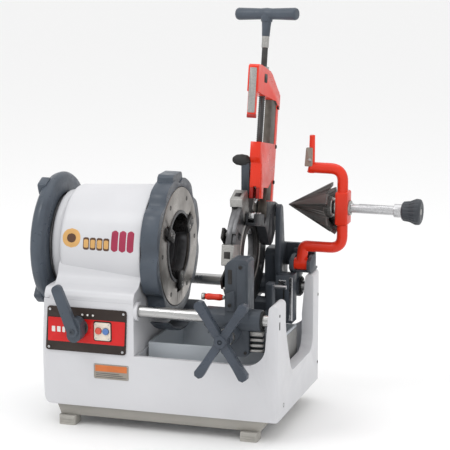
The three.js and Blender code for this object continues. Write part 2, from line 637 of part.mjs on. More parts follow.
function cutterFrame() {
  const spine = box(CUTTER_LEFT + 3, CUTTER_RIGHT - 3, SPINE_V, SPINE_V + 20, -60, 250);
  const head = cut(prismX(outline([[-92, 236], [-92, 298], [-84, 303], [-60, 303], [22, 294], [40, 288],
    [125, 240], [125, 204], [SPINE_V, 214], [84, 224], [-40, 232], [-78, 236]]), CUTTER_LEFT, CUTTER_RIGHT),
  barZ(CUTTER_MID, 0, SCREW_R + GAP, 220, 310, 16));
  const frontBar = box(CUTTER_LEFT + 3, CUTTER_RIGHT - 3, -92, -78, 172, 240);
  const guide = box(GUIDE.left, GUIDE.right, GUIDE.front, SPINE_V + 1, -34, 230);
  const saddle = prismX(outline([[-40, -84], [-40, -91], [20, -92], [60, -93], [84, -112], [104, -134],
    [122, -140], [140, -132], [156, -108], [172, -62], [166, -32], [140, -28], [64, -28], [64, -70], [54, -84]]),
  CUTTER_LEFT + 1, CUTTER_RIGHT - 1);
  const cheek = x => box(x, x + 5, -36, 42, -90, -62);
  const knuckle = barX(PIVOT_V, PIVOT_U, 16, CUTTER_LEFT + 1, CUTTER_RIGHT, 20);
  const bore = barX(PIVOT_V, PIVOT_U, 8 + GAP, CUTTER_LEFT - 1, CUTTER_RIGHT + 1, 16);
  return cut(join(spine, head, frontBar, guide, saddle, cheek(CUTTER_LEFT), cheek(CUTTER_RIGHT - 5), knuckle),
    bore);
}

const roller = v => barX(v, ROLLER_U, 12, CUTTER_LEFT + 5 + GAP, CUTTER_RIGHT - 5 - GAP, 20);

function cutterSlide() {
  const block = prismX(outline([[-34, SLIDE_TOP], [-34, 78], [-20, 64], [-20, 4], [60, 4],
    [SPINE_V - GAP, 30], [SPINE_V - GAP, SLIDE_TOP]]), CUTTER_LEFT, CUTTER_RIGHT);
  const fork = box(CUTTER_LEFT, CUTTER_RIGHT, -18, 18, -24, 6);
  const wheelSlot = box(CUTTER_MID - 4, CUTTER_MID + 4, -22, 22, -30, 6);
  const guideSlot = box(GUIDE.left - GAP, GUIDE.right + GAP, GUIDE.front - GAP, SPINE_V + 5, 0, SLIDE_TOP + 5);
  return cut(join(block, fork), wheelSlot, guideSlot);
}

const cutterWheel = () => barX(0, -16, 20, CUTTER_MID - 3, CUTTER_MID + 3, 28);

function cutterScrew() {
  const screw = barZ(CUTTER_MID, 0, SCREW_R, SLIDE_TOP + GAP, 374, 16);
  const neck = barZ(CUTTER_MID, 0, 6, 370, 404, 16);
  const collar = barZ(CUTTER_MID, 0, 10.5, 402, HANDLE_U, 16);
  const grip = turned([[0, -85], [13, -85], [15.5, -80], [15, -50], [13, -16], [15, 0], [13, 16], [15, 50],
    [15.5, 80], [13, 85], [0, 85]], 0, 0, 16);
  return join(screw, neck, collar, grip.rotate([0, 0, -14]).translate([CUTTER_MID, 0, HANDLE_U]));
}

// ---- reamer ----
const HUB = [58, 90];
const ARM_X = 74; // of the arm's upright part

function capsule(from, to, radius) {
  const direction = new THREE.Vector3().subVectors(to, from);
  const middle = new THREE.Vector3().addVectors(from, to).multiplyScalar(0.5);
  const turn = new THREE.Quaternion().setFromUnitVectors(
    new THREE.Vector3(0, 1, 0), direction.clone().normalize());
  const body = new THREE.CapsuleGeometry(radius, direction.length(), 2, 8);
  return solid(body.applyQuaternion(turn).translate(middle.x, middle.y, middle.z));
}

function reamerArm() {
  const at = (x, z) => new THREE.Vector3(x, REAMER_PIVOT_Y, z);
  const lower = [at(-32, 384), at(-26, 421), at(ARM_X, 421), at(ARM_X, 500)];
  const upper = [at(ARM_X, 550), at(ARM_X, 625), at(-8, 625)];
  const runs = points => points.slice(1).map((p, i) => capsule(points[i], p, REAMER_TUBE_R));
  const handle = capsule(at(-8, 625), at(-6, 702), 7.5);
  const knuckle = barX(REAMER_PIVOT_Y, REAMER_PIVOT_Z, 15, BRACKET.left + 12, BRACKET.right - 10, 20);
  const hub = box(...HUB, REAMER_Y - 24, REAMER_Y + 22, REAMER_Z - 42, REAMER_Z + 42);
  return cut(join(knuckle, ...runs(lower), ...runs(upper), handle, hub),
    barX(REAMER_Y, REAMER_Z, 12 + GAP, HUB[0] - 10, HUB[1] + 10, 20),
    barX(REAMER_PIVOT_Y, REAMER_PIVOT_Z, 8 + GAP, -70, -5, 16));
}

const CONE_BASE = CONE_TIP + CONE_LENGTH;

function reamerCone() {
  const sides = 20;
  const cone = new THREE.ConeGeometry(CONE_R, CONE_LENGTH, sides).rotateZ(Math.PI / 2);
  const body = solid(cone.translate(CONE_TIP + CONE_LENGTH / 2, REAMER_Y, REAMER_Z));
  const flute = degrees => solid(new THREE.CylinderGeometry(9, 2, CONE_LENGTH * 1.5, 10)
    .rotateZ(-Math.PI / 2).translate(CONE_LENGTH * 0.1, 0, 0).rotateZ(0.42)
    .translate(-30, 34, 0).rotateX(THREE.MathUtils.degToRad(degrees))
    .translate(CONE_BASE, REAMER_Y, REAMER_Z));
  const bore = barX(REAMER_Y, REAMER_Z, 12 + GAP, CONE_BASE - 20, CONE_BASE + 5, 16);
  return cut(body, ...[18, 90, 162, 234, 306].map(flute), bore);
}

const KNOB = [226, 276];
const reamerShaft = () => barX(REAMER_Y, REAMER_Z, 12, CONE_BASE - 20 + GAP, KNOB[0] + 20, 20);

function reamerKnob() {
  const [x0, x1] = KNOB;
  const bell = turned([[0, x0], [20, x0], [25, x0 + 4], [27, x0 + 22], [33, x1 - 14], [32, x1 - 4],
    [26, x1], [0, x1]], REAMER_Y, REAMER_Z, 28);
  return cut(bell, barX(REAMER_Y, REAMER_Z, 12 + GAP, x0 - 5, x0 + 20 + GAP, 20));
}

// ---- assembly ----
const group = new THREE.Group();
const add = (name, body, material, parent = group) => parent.add(mesh(name, body, material));

function addBase() {
  add('base_housing', baseHousing(), whitePaint);
  add('drum_cover', drumCover(), whitePaint);
  add('rear_cover', rearCover(), whitePaint);
  add('under_frame', underFrame(), underPaint);
  const feet = { foot_front_left: [-547, 27], foot_front_right: [-74, 27],
    foot_rear_left: [-547, 383], foot_rear_right: [-74, 383] };
  for (const [name, [x, y]] of Object.entries(feet)) add(name, foot(x, y), rubber);
  add('control_panel', controlPanel(), panelPlastic);
  add('switch_plate', switchPlate(), palePlastic);
  add('front_rail', rail(FRONT_RAIL_Y), brightSteel);
  add('back_rail', rail(BACK_RAIL_Y), brightSteel);
  add('feed_rack', feedRack(), satinSteel);
  add('chip_tray', chipTray(), greyPaint);
  add('oil_catcher', oilCatcher(), greyPaint);
  add('oil_pump', oilPump(), castIron);
  add('power_inlet', powerInlet(), knobPlastic);
}

function addHeadstock() {
  add('headstock_frame', headstockFrame(), castIron);
  add('spindle_front_bearing', bearing(FRONT_PLATE), bearingSteel);
  add('spindle_rear_bearing', bearing(REAR_PLATE), bearingSteel);
  add('motor', motor(), motorPaint);
  add('gearbox', gearbox(), castIron);
  add('drive_pinion', drivePinion(), satinSteel);
  add('spindle_tube', spindleTube(), satinSteel);
  add('spindle_gear', spindleGear(), castIron);
  add('chuck_body', chuckBody(), castIron);
  add('chuck_face_plate', facePlate(), satinSteel);
  add('chuck_hand_ring', handRing(), ringPaint);
  add('rear_chuck_body', rearChuckBody(), castIron);
  add('rear_hand_ring', rearHandRing(), ringPaint);
  JAW_ANGLES.forEach((degrees, i) => {
    add(`chuck_jaw_${i + 1}`, chuckJaw(degrees), satinSteel);
    add(`rear_jaw_${i + 1}`, rearJaw(degrees), satinSteel);
  });
  add('shift_lever', shiftLever(), ringPaint);
  add('stop_button', button(BUTTON_XS.stop_button), redButton);
  add('start_button', button(BUTTON_XS.start_button), blueButton);
}

function addCarriage() {
  add('carriage_casting', carriageCasting(), greyPaint);
  add('rear_bracket', rearBracket(), greyPaint);
  add('carriage_grip', carriageGrip(), redPaint);
  add('handwheel', handwheel(), ringPaint);
  add('feed_pinion', feedPinion(), satinSteel);
  add('die_head_body', dieHeadBody(), blackSteel);
  add('cam_plate', camPlate(), satinSteel);
  DIE_ANGLES.forEach((degrees, i) => add(`thread_die_${i + 1}`, threadDie(degrees), blackSteel));
}

function addCutter() {
  const cutter = new THREE.Group();
  cutter.position.set(0, PIPE_Y, PIPE_Z);
  cutter.rotation.x = -LEAN;
  add('cutter_frame', cutterFrame(), redPaint, cutter);
  add('cutter_slide', cutterSlide(), redPaint, cutter);
  add('cutter_wheel', cutterWheel(), brightSteel, cutter);
  add('cutter_screw', cutterScrew(), knobPlastic, cutter);
  for (const [name, v] of Object.entries(ROLLER_VS)) add(name, roller(v), brightSteel, cutter);
  group.add(cutter);
}

function addReamer() {
  add('reamer_arm', reamerArm(), redPaint);
  add('reamer_cone', reamerCone(), blackSteel);
  add('reamer_shaft', reamerShaft(), brightSteel);
  add('reamer_knob', reamerKnob(), knobPlastic);
}

addBase();
addHeadstock();
addCarriage();
addCutter();
addReamer();

// The origin is the middle of the bounding box, on the ground.
group.updateMatrixWorld(true);
const bounds = new THREE.Box3().setFromObject(group, true);
const middle = bounds.getCenter(new THREE.Vector3());
group.position.set(-middle.x, -middle.y, -bounds.min.z);

export default group;
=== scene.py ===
# Looks of a bench pipe threading machine, built round its CAD frame.
# Shapes are given in machine millimetres: x = 0 is the right end of the base housing and y = 0 its
# front face, z = 0 is the ground. at() turns them into the frame's metres.
import math

import bmesh
import bpy
from mathutils import Matrix, Vector


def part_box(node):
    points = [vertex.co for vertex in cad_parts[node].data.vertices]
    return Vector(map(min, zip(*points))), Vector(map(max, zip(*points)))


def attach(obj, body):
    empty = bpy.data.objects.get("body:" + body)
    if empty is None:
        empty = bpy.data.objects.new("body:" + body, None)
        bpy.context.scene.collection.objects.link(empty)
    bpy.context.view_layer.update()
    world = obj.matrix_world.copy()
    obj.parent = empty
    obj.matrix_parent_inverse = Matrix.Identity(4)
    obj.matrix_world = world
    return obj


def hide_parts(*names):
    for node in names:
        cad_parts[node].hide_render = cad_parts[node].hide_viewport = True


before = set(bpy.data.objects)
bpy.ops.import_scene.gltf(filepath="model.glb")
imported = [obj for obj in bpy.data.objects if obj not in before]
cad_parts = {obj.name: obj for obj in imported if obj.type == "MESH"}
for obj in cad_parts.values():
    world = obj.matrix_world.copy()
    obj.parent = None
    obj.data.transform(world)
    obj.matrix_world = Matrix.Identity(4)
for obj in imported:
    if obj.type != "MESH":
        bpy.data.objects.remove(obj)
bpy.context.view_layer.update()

MM = 0.001
housing_low, housing_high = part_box("base_housing")
ORIGIN = Vector((housing_high[0], housing_low[1], 0.0))


def at(x, y, z):
    return ORIGIN + Vector((x, y, z)) * MM


def span(node):
    """A node's lowest and highest corner in machine millimetres."""
    low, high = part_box(node)
    return [[(corner[i] - ORIGIN[i]) / MM for i in range(3)] for corner in (low, high)]


def centre(node):
    low, high = span(node)
    return [(a + b) / 2 for a, b in zip(low, high)]


# ---- materials
class Surface:
    """A material under construction: each method adds to its node tree."""

    def __init__(self, name, roughness=0.5, metallic=0.0):
        self.material = bpy.data.materials.new(name)
        self.material.use_nodes = True
        self.nodes, self.links = self.material.node_tree.nodes, self.material.node_tree.links
        self.inputs = self.nodes["Principled BSDF"].inputs
        self.inputs["Roughness"].default_value = roughness
        self.inputs["Metallic"].default_value = metallic
        self.inputs["Specular IOR Level"].default_value = 0.5 if metallic else 0.28

    def node(self, kind, output, source, into, **values):
        """Adds a node whose input `into` comes from source, and returns one of its outputs."""
        made = self.nodes.new("ShaderNode" + kind)
        for name, value in values.items():
            made.inputs[name.replace("_", " ")].default_value = value
        self.links.new(source, made.inputs[into])
        return made.outputs[output]

    def place(self, scale=(1, 1, 1), location=(0, 0, 0)):
        """Object coordinates, stretched by scale."""
        coordinates = self.nodes.new("ShaderNodeTexCoord")
        return self.node("Mapping", "Vector", coordinates.outputs["Object"], "Vector", Scale=scale,
                         Location=location)

    def noise(self, vector, scale, detail=3.0):
        return self.node("TexNoise", "Fac", vector, "Vector", Scale=scale, Detail=detail)

    def tone(self, value, stops):
        """Base colour: stops of (position, colour) along a value."""
        ramp = self.nodes.new("ShaderNodeValToRGB")
        elements = ramp.color_ramp.elements
        while len(elements) < len(stops):
            elements.new(0.5)
        for element, (position, color) in zip(elements, stops):
            element.position = position
            element.color = (*color, 1.0)
        self.links.new(value, ramp.inputs["Fac"])
        self.links.new(ramp.outputs["Color"], self.inputs["Base Color"])

    def gloss(self, value, low, high):
        """Roughness from low to high over the middle of a noise's range."""
        rough = self.node("MapRange", "Result", value, "Value", From_Min=0.3, From_Max=0.7,
                          To_Min=low, To_Max=high)
        self.links.new(rough, self.inputs["Roughness"])

    def bump(self, height, strength, distance=0.0005):
        normal = self.node("Bump", "Normal", height, "Height", Strength=strength, Distance=distance)
        self.links.new(normal, self.inputs["Normal"])


def shade(color, factor):
    return tuple(min(1.0, c * factor) for c in color)


def paint(name, color, roughness=0.35, grain=260.0, relief=0.15, coat=0.2, variation=0.06):
    """Enamel or powder coat: faint clouding, orange peel and an uneven gloss."""
    surface = Surface(name, roughness)
    vector = surface.place()
    surface.tone(surface.noise(vector, 9.0, 4.0),
                 [(0.3, shade(color, 1 - variation)), (0.7, shade(color, 1 + variation))])
    surface.gloss(surface.noise(vector, 30.0), roughness - 0.06, roughness + 0.08)
    surface.inputs["Coat Weight"].default_value = coat
    surface.inputs["Coat Roughness"].default_value = 0.15
    surface.bump(surface.noise(vector, grain), relief)
    return surface.material


def cast_paint(name, color, roughness=0.45):
    """Enamel over a sand casting: rougher, with dark specks in the hollows."""
    surface = Surface(name, roughness)
    vector = surface.place()
    surface.tone(surface.noise(vector, 14.0, 6.0),
                 [(0.25, shade(color, 0.78)), (0.5, color), (0.78, shade(color, 1.22))])
    surface.gloss(surface.noise(vector, 60.0), roughness - 0.1, roughness + 0.1)
    surface.bump(surface.noise(vector, 180.0, 5.0), 0.45, 0.0006)
    return surface.material


def steel(name, color, roughness=0.25, stretch=(1, 1, 1), scale=300.0, relief=0.12, metallic=1.0):
    """Machined steel: fine tool marks, long in the direction where stretch is small."""
    surface = Surface(name, roughness, metallic)
    marks = surface.noise(surface.place(stretch), scale, 4.0)
    surface.tone(marks, [(0.3, shade(color, 0.8)), (0.7, shade(color, 1.1))])
    surface.gloss(surface.noise(surface.place(), 16.0, 5.0), roughness - 0.08, roughness + 0.16)
    surface.bump(marks, relief, 0.0002)
    return surface.material


def turned_steel(name, color, roughness, axis_y, axis_z):
    """Facing marks: fine rings about an axis along X."""
    surface = Surface(name, roughness, 1.0)
    axis = at(0, axis_y, axis_z)
    vector = surface.place((0.02, 1, 1), (0, -axis[1], -axis[2]))
    rings = surface.node("TexWave", "Fac", vector, "Vector", Scale=160.0, Distortion=0.6)
    rings.node.wave_type = "RINGS"
    rings.node.rings_direction = "X"
    stain = surface.noise(surface.place(), 18.0, 6.0)
    surface.tone(stain, [(0.3, shade(color, 0.72)), (0.7, shade(color, 1.12))])
    surface.gloss(stain, roughness + 0.14, roughness - 0.04)
    surface.bump(rings, 0.25, 0.0002)
    return surface.material


def plastic(name, color, roughness=0.45, grain=700.0, relief=0.3):
    surface = Surface(name, roughness)
    vector = surface.place()
    surface.tone(surface.noise(vector, 25.0, 5.0),
                 [(0.3, shade(color, 0.88)), (0.7, shade(color, 1.1))])
    surface.gloss(surface.noise(vector, 45.0), roughness - 0.06, roughness + 0.08)
    surface.bump(surface.noise(vector, grain), relief, 0.0002)
    return surface.material


SPINDLE_Y, SPINDLE_Z = centre("chuck_face_plate")[1:]
WHITE = paint("white_enamel", (0.60, 0.602, 0.622), 0.42, 420.0, 0.10, 0.12, 0.02)
DARK_BROWN = plastic("printed_brown", (0.10, 0.05, 0.03), 0.45)
BEIGE = paint("under_frame_paint", (0.36, 0.345, 0.315), 0.55, 300.0, 0.2, 0.0)
RED = paint("red_enamel", (0.70, 0.030, 0.008), 0.32, 300.0, 0.12, 0.12, 0.08)
SLATE = cast_paint("slate_enamel", (0.066, 0.080, 0.100), 0.36)
WHEEL = cast_paint("wheel_enamel", (0.056, 0.067, 0.086), 0.30)
CHARCOAL = cast_paint("charcoal_enamel", (0.052, 0.061, 0.074), 0.42)
TRAY = paint("tray_grey", (0.56, 0.60, 0.64), 0.5, 200.0, 0.25, 0.0)
SCREEN = cast_paint("screen_grey", (0.26, 0.26, 0.255), 0.6)
IRON = cast_paint("raw_iron", (0.10, 0.10, 0.10), 0.62)
RAIL = steel("ground_rail", (0.47, 0.47, 0.465), 0.24, (0.03, 1, 1))
BRIGHT = steel("bright_steel", (0.52, 0.52, 0.53), 0.24)
SATIN = steel("satin_steel", (0.40, 0.395, 0.38), 0.36)
FACED = turned_steel("faced_steel", (0.27, 0.25, 0.23), 0.26, SPINDLE_Y, SPINDLE_Z)
JAW = cast_paint("jaw_black", (0.022, 0.021, 0.021), 0.42)
# black oxide steel for screws and small parts; it also paints shade on the flat plates in the post's recess
# and the cutter head's hole
BLACK = steel("black_oxide_and_painted_shade", (0.055, 0.053, 0.052), 0.42, scale=90.0, relief=0.3)
CONE = steel("cone_steel", (0.095, 0.093, 0.089), 0.42, (0.15, 1, 1), 90.0, 0.3, 0.15)
PANEL = plastic("panel_plastic", (0.030, 0.020, 0.016), 0.42)
BAND = paint("panel_red", (0.60, 0.012, 0.012), 0.4, 500.0, 0.05, 0.1, 0.03)
CREAM = plastic("switch_cream", (0.74, 0.66, 0.56), 0.45)
KNOB = plastic("grip_plastic", (0.045, 0.050, 0.058), 0.42, 300.0)
RUBBER = plastic("foot_rubber", (0.40, 0.385, 0.355), 0.75, 200.0, 0.5)
RED_BUTTON = plastic("button_red", (0.62, 0.10, 0.07), 0.28)
BLUE_BUTTON = plastic("button_blue", (0.10, 0.20, 0.46), 0.28)
MARK = plastic("printed_white", (0.80, 0.78, 0.74), 0.5)
TAN = plastic("printed_tan", (0.62, 0.36, 0.13), 0.45)
MAROON = plastic("printed_maroon", (0.32, 0.03, 0.07), 0.45)
ORANGE = plastic("printed_orange", (0.60, 0.17, 0.05), 0.5)
MOTOR = paint("motor_enamel", (0.05, 0.12, 0.18), 0.45)
SEAM = plastic("dark_seam", (0.10, 0.10, 0.10), 0.6)
PLATE = plastic("rating_grey", (0.30, 0.27, 0.23), 0.45)
DARK_STEEL = steel("dark_steel", (0.13, 0.13, 0.135), 0.38, scale=80.0, relief=0.25)
THREAD = steel("thread_steel", (0.075, 0.074, 0.074), 0.40, scale=120.0, relief=0.2)
GUIDE = steel("guide_steel", (0.145, 0.13, 0.115), 0.42, scale=70.0, relief=0.3)
BLACK_PAINT = cast_paint("black_enamel", (0.022, 0.023, 0.026), 0.40)
DARK_RED = paint("dark_red_enamel", (0.30, 0.012, 0.008), 0.4, 300.0, 0.15, 0.2, 0.08)
RUBBER_BLACK = plastic("wiper_rubber", (0.03, 0.03, 0.03), 0.7, 200.0, 0.4)


# ---- shapes, in machine millimetres
def rounded(corners, radius, steps=6):
    """A closed outline with its corners turned into arcs; a corner may bring its own radius."""
    points = []
    count = len(corners)
    for i, corner in enumerate(corners):
        here = Vector(corner[:2])
        r = corner[2] if len(corner) > 2 else radius
        back = Vector(corners[i - 1][:2]) - here
        ahead = Vector(corners[(i + 1) % count][:2]) - here
        half = back.angle(ahead) / 2
        if r <= 0 or half > math.radians(88):
            points.append(tuple(here))
            continue
        reach = min(r / math.tan(half), back.length * 0.49, ahead.length * 0.49)
        start = here + back.normalized() * reach
        end = here + ahead.normalized() * reach
        for k in range(steps + 1):
            t = k / steps
            points.append(tuple(start * (1 - t) ** 2 + here * 2 * t * (1 - t) + end * t * t))
    return points


def rectangle(a0, a1, b0, b1, radius, steps=6):
    return rounded([(a0, b0), (a1, b0), (a1, b1), (a0, b1)], radius, steps)


def circle(a, b, radius, sides=32, start=0.0):
    return [(a + radius * math.cos(start + 2 * math.pi * i / sides),
             b + radius * math.sin(start + 2 * math.pi * i / sides)) for i in range(sides)]


def prism(outline, axis, low, high):
    """An outline across an axis ("x": y, z; "y": x, z; "z": x, y), drawn from low to high along it."""
    order = {"x": (2, 0, 1), "y": (0, 2, 1), "z": (0, 1, 2)}[axis]
    count = len(outline)
    points = [tuple((a, b, c)[i] for i in order) for c in (low, high) for a, b in outline]
    faces = [tuple(range(count)), tuple(range(count, 2 * count))]
    faces += [(i, (i + 1) % count, count + (i + 1) % count, count + i) for i in range(count)]
    return points, faces


def box(x0, x1, y0, y1, z0, z1):
    return prism([(x0, y0), (x1, y0), (x1, y1), (x0, y1)], "z", z0, z1)


def lathe(profile, y=None, z=None, sides=96, axis="x"):
    """Turns [radius, distance] points about an axis; the profile is closed or ends on the axis."""
    y = SPINDLE_Y if y is None else y
    z = SPINDLE_Z if z is None else z
    points, faces, rings = [], [], []
    for radius, along in profile:
        if radius < 1e-6:
            rings.append([len(points)] * sides)
            points.append((along, y, z) if axis == "x" else (y, along, z))
            continue
        rings.append(list(range(len(points), len(points) + sides)))
        for i in range(sides):
            turn = 2 * math.pi * i / sides
            a, b = radius * math.cos(turn), radius * math.sin(turn)
            points.append((along, y + a, z + b) if axis == "x" else (y + a, along, z + b))
    closed = profile[0][0] > 1e-6 and profile[-1][0] > 1e-6
    for k in range(len(rings) if closed else len(rings) - 1):
        first, second = rings[k], rings[(k + 1) % len(rings)]
        for i in range(sides):
            j = (i + 1) % sides
            corners = [first[i], first[j], second[j], second[i]]
            face = tuple(dict.fromkeys(corners))
            if len(face) > 2:
                faces.append(face)
    return points, faces


def turned(corners, radius=1.5, y=None, z=None, sides=96, axis="x", steps=4):
    """A turned piece whose profile corners are rounded; corners on the axis stay sharp."""
    sharp = [(r, a, 0) if r < 1e-6 else (r, a, radius) for r, a in corners]
    profile = rounded(sharp, radius, steps)
    on_axis = [i for i, p in enumerate(profile) if p[0] < 1e-6]
    if on_axis and on_axis[-1] != len(profile) - 1:
        first = on_axis[-1]
        profile = profile[first:] + profile[:first]
    return lathe(profile, y, z, sides, axis)


def ring(inner, outer, x0, x1, radius=1.0, y=None, z=None, sides=96):
    return turned([(inner, x0), (outer, x0), (outer, x1), (inner, x1)], radius, y, z, sides)


def sweep(route, radius, sides=20, bend=0.0, steps=8):
    """A round bar along a route; radius and bend may be lists with one value for each point."""
    points = [Vector(p) for p in route]
    bends = list(bend) if isinstance(bend, (list, tuple)) else [bend] * len(points)
    radii = list(radius) if isinstance(radius, (list, tuple)) else [radius] * len(points)
    if any(bends):
        smooth, smooth_radii = [points[0]], [radii[0]]
        for i in range(1, len(points) - 1):
            here = points[i]
            back, ahead = points[i - 1] - here, points[i + 1] - here
            reach = max(0.5, min(bends[i], back.length * 0.48, ahead.length * 0.48))
            start, end = here + back.normalized() * reach, here + ahead.normalized() * reach
            for k in range(steps + 1):
                t = k / steps
                smooth.append(start * (1 - t) ** 2 + here * 2 * t * (1 - t) + end * t * t)
                smooth_radii.append(radii[i])
        smooth.append(points[-1])
        smooth_radii.append(radii[-1])
        points, radii = smooth, smooth_radii
    count = len(points)
    normal = (points[1] - points[0]).orthogonal().normalized()
    verts, faces = [], []
    for i, point in enumerate(points):
        direction = (points[min(i + 1, count - 1)] - points[max(i - 1, 0)]).normalized()
        normal = (normal - direction * normal.dot(direction)).normalized()
        side = direction.cross(normal)
        for k in range(sides):
            turn = 2 * math.pi * k / sides
            verts.append(tuple(point + (normal * math.cos(turn) + side * math.sin(turn)) * radii[i]))
    for i in range(count - 1):
        for k in range(sides):
            j = (k + 1) % sides
            faces.append((i * sides + k, i * sides + j, (i + 1) * sides + j, (i + 1) * sides + k))
    faces.append(tuple(range(sides)))
    faces.append(tuple(range((count - 1) * sides, count * sides)))
    return verts, faces


def bar(start, end, radius, sides=28):
    return sweep([start, end], radius, sides)


def moved(shape, matrix):
    points, faces = shape
    return [tuple(matrix @ Vector(p)) for p in points], faces


def about_spindle(shape, degrees):
    here = Matrix.Translation((0, SPINDLE_Y, SPINDLE_Z))
    return moved(shape, here @ Matrix.Rotation(math.radians(degrees), 4, "X") @ here.inverted())


def hexagon_x(y, z, radius, x0, x1):
    return prism(circle(y, z, radius, 6), "x", x0, x1)


def cap_screw(point, direction, radius=4.5, height=4.0):
    """A socket-head screw's head standing on a surface, with its hexagon socket."""
    profile = [(0, height * 0.45), (radius * 0.5, height * 0.45), (radius * 0.5, height),
               (radius * 0.85, height), (radius, height * 0.8), (radius, -0.5), (0, -0.5)]
    head = lathe(profile, 0, 0, 24)
    turn = Vector((1, 0, 0)).rotation_difference(Vector(direction).normalized()).to_matrix().to_4x4()
    return moved(head, Matrix.Translation(point) @ turn)


FRONT, BACK, LEFT, RIGHT = (0, -1, 0), (0, 1, 0), (-1, 0, 0), (1, 0, 0)


def radial(corners, corner_radius, x0, x1, degrees):
    """A prism along X: its corners are (out, across) from the spindle's axis, turned about it."""
    outline = [(SPINDLE_Y + out, SPINDLE_Z + across) for out, across in corners]
    return about_spindle(prism(rounded(outline, corner_radius), "x", x0, x1), degrees)


def spoke(out0, out1, half, corner_radius, x0, x1, degrees):
    """A radial block from one distance out to another, half as wide as given to each side."""
    corners = [(out0, -half), (out1, -half), (out1, half), (out0, half)]
    return radial(corners, corner_radius, x0, x1, degrees)


# ---- pieces
def make_object(name, shape):
    points, faces = shape
    mesh = bpy.data.meshes.new(name)
    mesh.from_pydata([tuple(at(*p)) for p in points], [], faces)
    mesh.validate()
    editing = bmesh.new()
    editing.from_mesh(mesh)
    bmesh.ops.remove_doubles(editing, verts=editing.verts, dist=1e-6)
    bmesh.ops.recalc_face_normals(editing, faces=editing.faces)
    editing.to_mesh(mesh)
    editing.free()
    made = bpy.data.objects.new(name, mesh)
    bpy.context.scene.collection.objects.link(made)
    return made


def baked(made):
    """Applies the modifiers to the mesh."""
    graph = bpy.context.evaluated_depsgraph_get()
    mesh = bpy.data.meshes.new_from_object(made.evaluated_get(graph))
    made.modifiers.clear()
    made.data = mesh
    return made


def carve(made, tools, operation="DIFFERENCE"):
    """Cuts shapes out of a piece, or joins them to it, as real solids."""
    for shape in tools:
        tool = make_object("tool", shape)
        step = made.modifiers.new("cut", "BOOLEAN")
        step.operation = operation
        step.solver = "EXACT"
        step.object = tool
        baked(made)
        bpy.data.objects.remove(tool)
    return made


def piece(name, shape, material, body, replaces=(), add=(), cut=(), bevel=0.0, segments=2, sharp=40.0):
    made = shape if isinstance(shape, bpy.types.Object) else make_object(name, shape)
    made.name = name
    carve(made, add, "UNION")
    carve(made, cut)
    if bevel:
        edge = made.modifiers.new("edges", "BEVEL")
        edge.width = bevel * MM
        edge.segments = segments
        edge.limit_method = "ANGLE"
        edge.angle_limit = math.radians(32)
        edge.harden_normals = True
        edge.use_clamp_overlap = True
        baked(made)
    made.data.shade_smooth()
    made.data.set_sharp_from_angle(angle=math.radians(sharp))
    made.data.materials.clear()
    made.data.materials.append(material)
    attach(made, body)
    if replaces:
        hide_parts(*([replaces] if isinstance(replaces, str) else replaces))
    return made


def plaque(name, area, corner, y0, y1, material, body="base", bevel=0.0):
    """A flat piece facing the front or the back; area is (x0, x1, z0, z1)."""
    piece(name, prism(rectangle(*area, corner), "y", y0, y1), material, body, bevel=bevel)


def screws(name, points, direction, radius, height, material, body):
    """Numbered screw heads, one at each point."""
    for i, point in enumerate(points):
        piece(f"{name}_{i + 1}", cap_screw(point, direction, radius, height), material, body)


def screw_circle(name, place, direction, radius, height, angles, material, body):
    """Numbered screw heads about the spindle's axis; place is (x, distance out)."""
    head = cap_screw((place[0], SPINDLE_Y + place[1], SPINDLE_Z), direction, radius, height)
    for i, degrees in enumerate(angles):
        piece(f"{name}_{i + 1}", about_spindle(head, degrees), material, body)


def from_cad(name, node, material, body, bevel=1.0, segments=2, **extra):
    """A finer copy of a CAD node: its flat faces are merged and its edges rounded."""
    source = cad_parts[node]
    made = bpy.data.objects.new(name, source.data.copy())
    bpy.context.scene.collection.objects.link(made)
    editing = bmesh.new()
    editing.from_mesh(made.data)
    bmesh.ops.remove_doubles(editing, verts=editing.verts, dist=2e-5)
    bmesh.ops.dissolve_limit(editing, angle_limit=math.radians(0.6), verts=editing.verts,
                             edges=editing.edges)
    editing.to_mesh(made.data)
    editing.free()
    if made.data.has_custom_normals:
        made.data.normals_split_custom_set([(0, 0, 0)] * len(made.data.loops))
    return piece(name, made, material, body, node, bevel=bevel, segments=segments, **extra)


def recolour(made, material, test):
    """Gives a second material to the faces whose middle, in machine millimetres, passes the test."""
    made.data.materials.append(material)
    for face in made.data.polygons:
        middle = (made.matrix_world @ face.center - ORIGIN) / MM
        if test(middle):
            face.material_index = len(made.data.materials) - 1
    return made


# ---- base
DRUM_LEFT, DRUM_RIGHT = -586.0, -366.0
DRUM_RADII = (143.0, 155.0)  # left, right
DRUM_WALL, DRUM_MOUTH = 6, 100
BLOCK_LEFT, BLOCK_TOP, DEPTH = -600.0, 326.3, 410.0
LEVER_X, LEVER_Z = -507, 259


def drum_radius(x):
    share = (x - DRUM_LEFT) / (DRUM_RIGHT - DRUM_LEFT)
    return DRUM_RADII[0] + (DRUM_RADII[1] - DRUM_RADII[0]) * share


def mirrored(half):
    """An outline across x that is the same at the front and at the back."""
    return half + [(DEPTH - y, z, *r) for y, z, *r in reversed(half)]


def hollow(x0, x1, radius0, radius1):
    """A cutting tube about the spindle's axis, with a core of 1 mm radius."""
    return lathe([(1, x0), (radius0, x0), (radius1, x1), (1, x1)], sides=64)


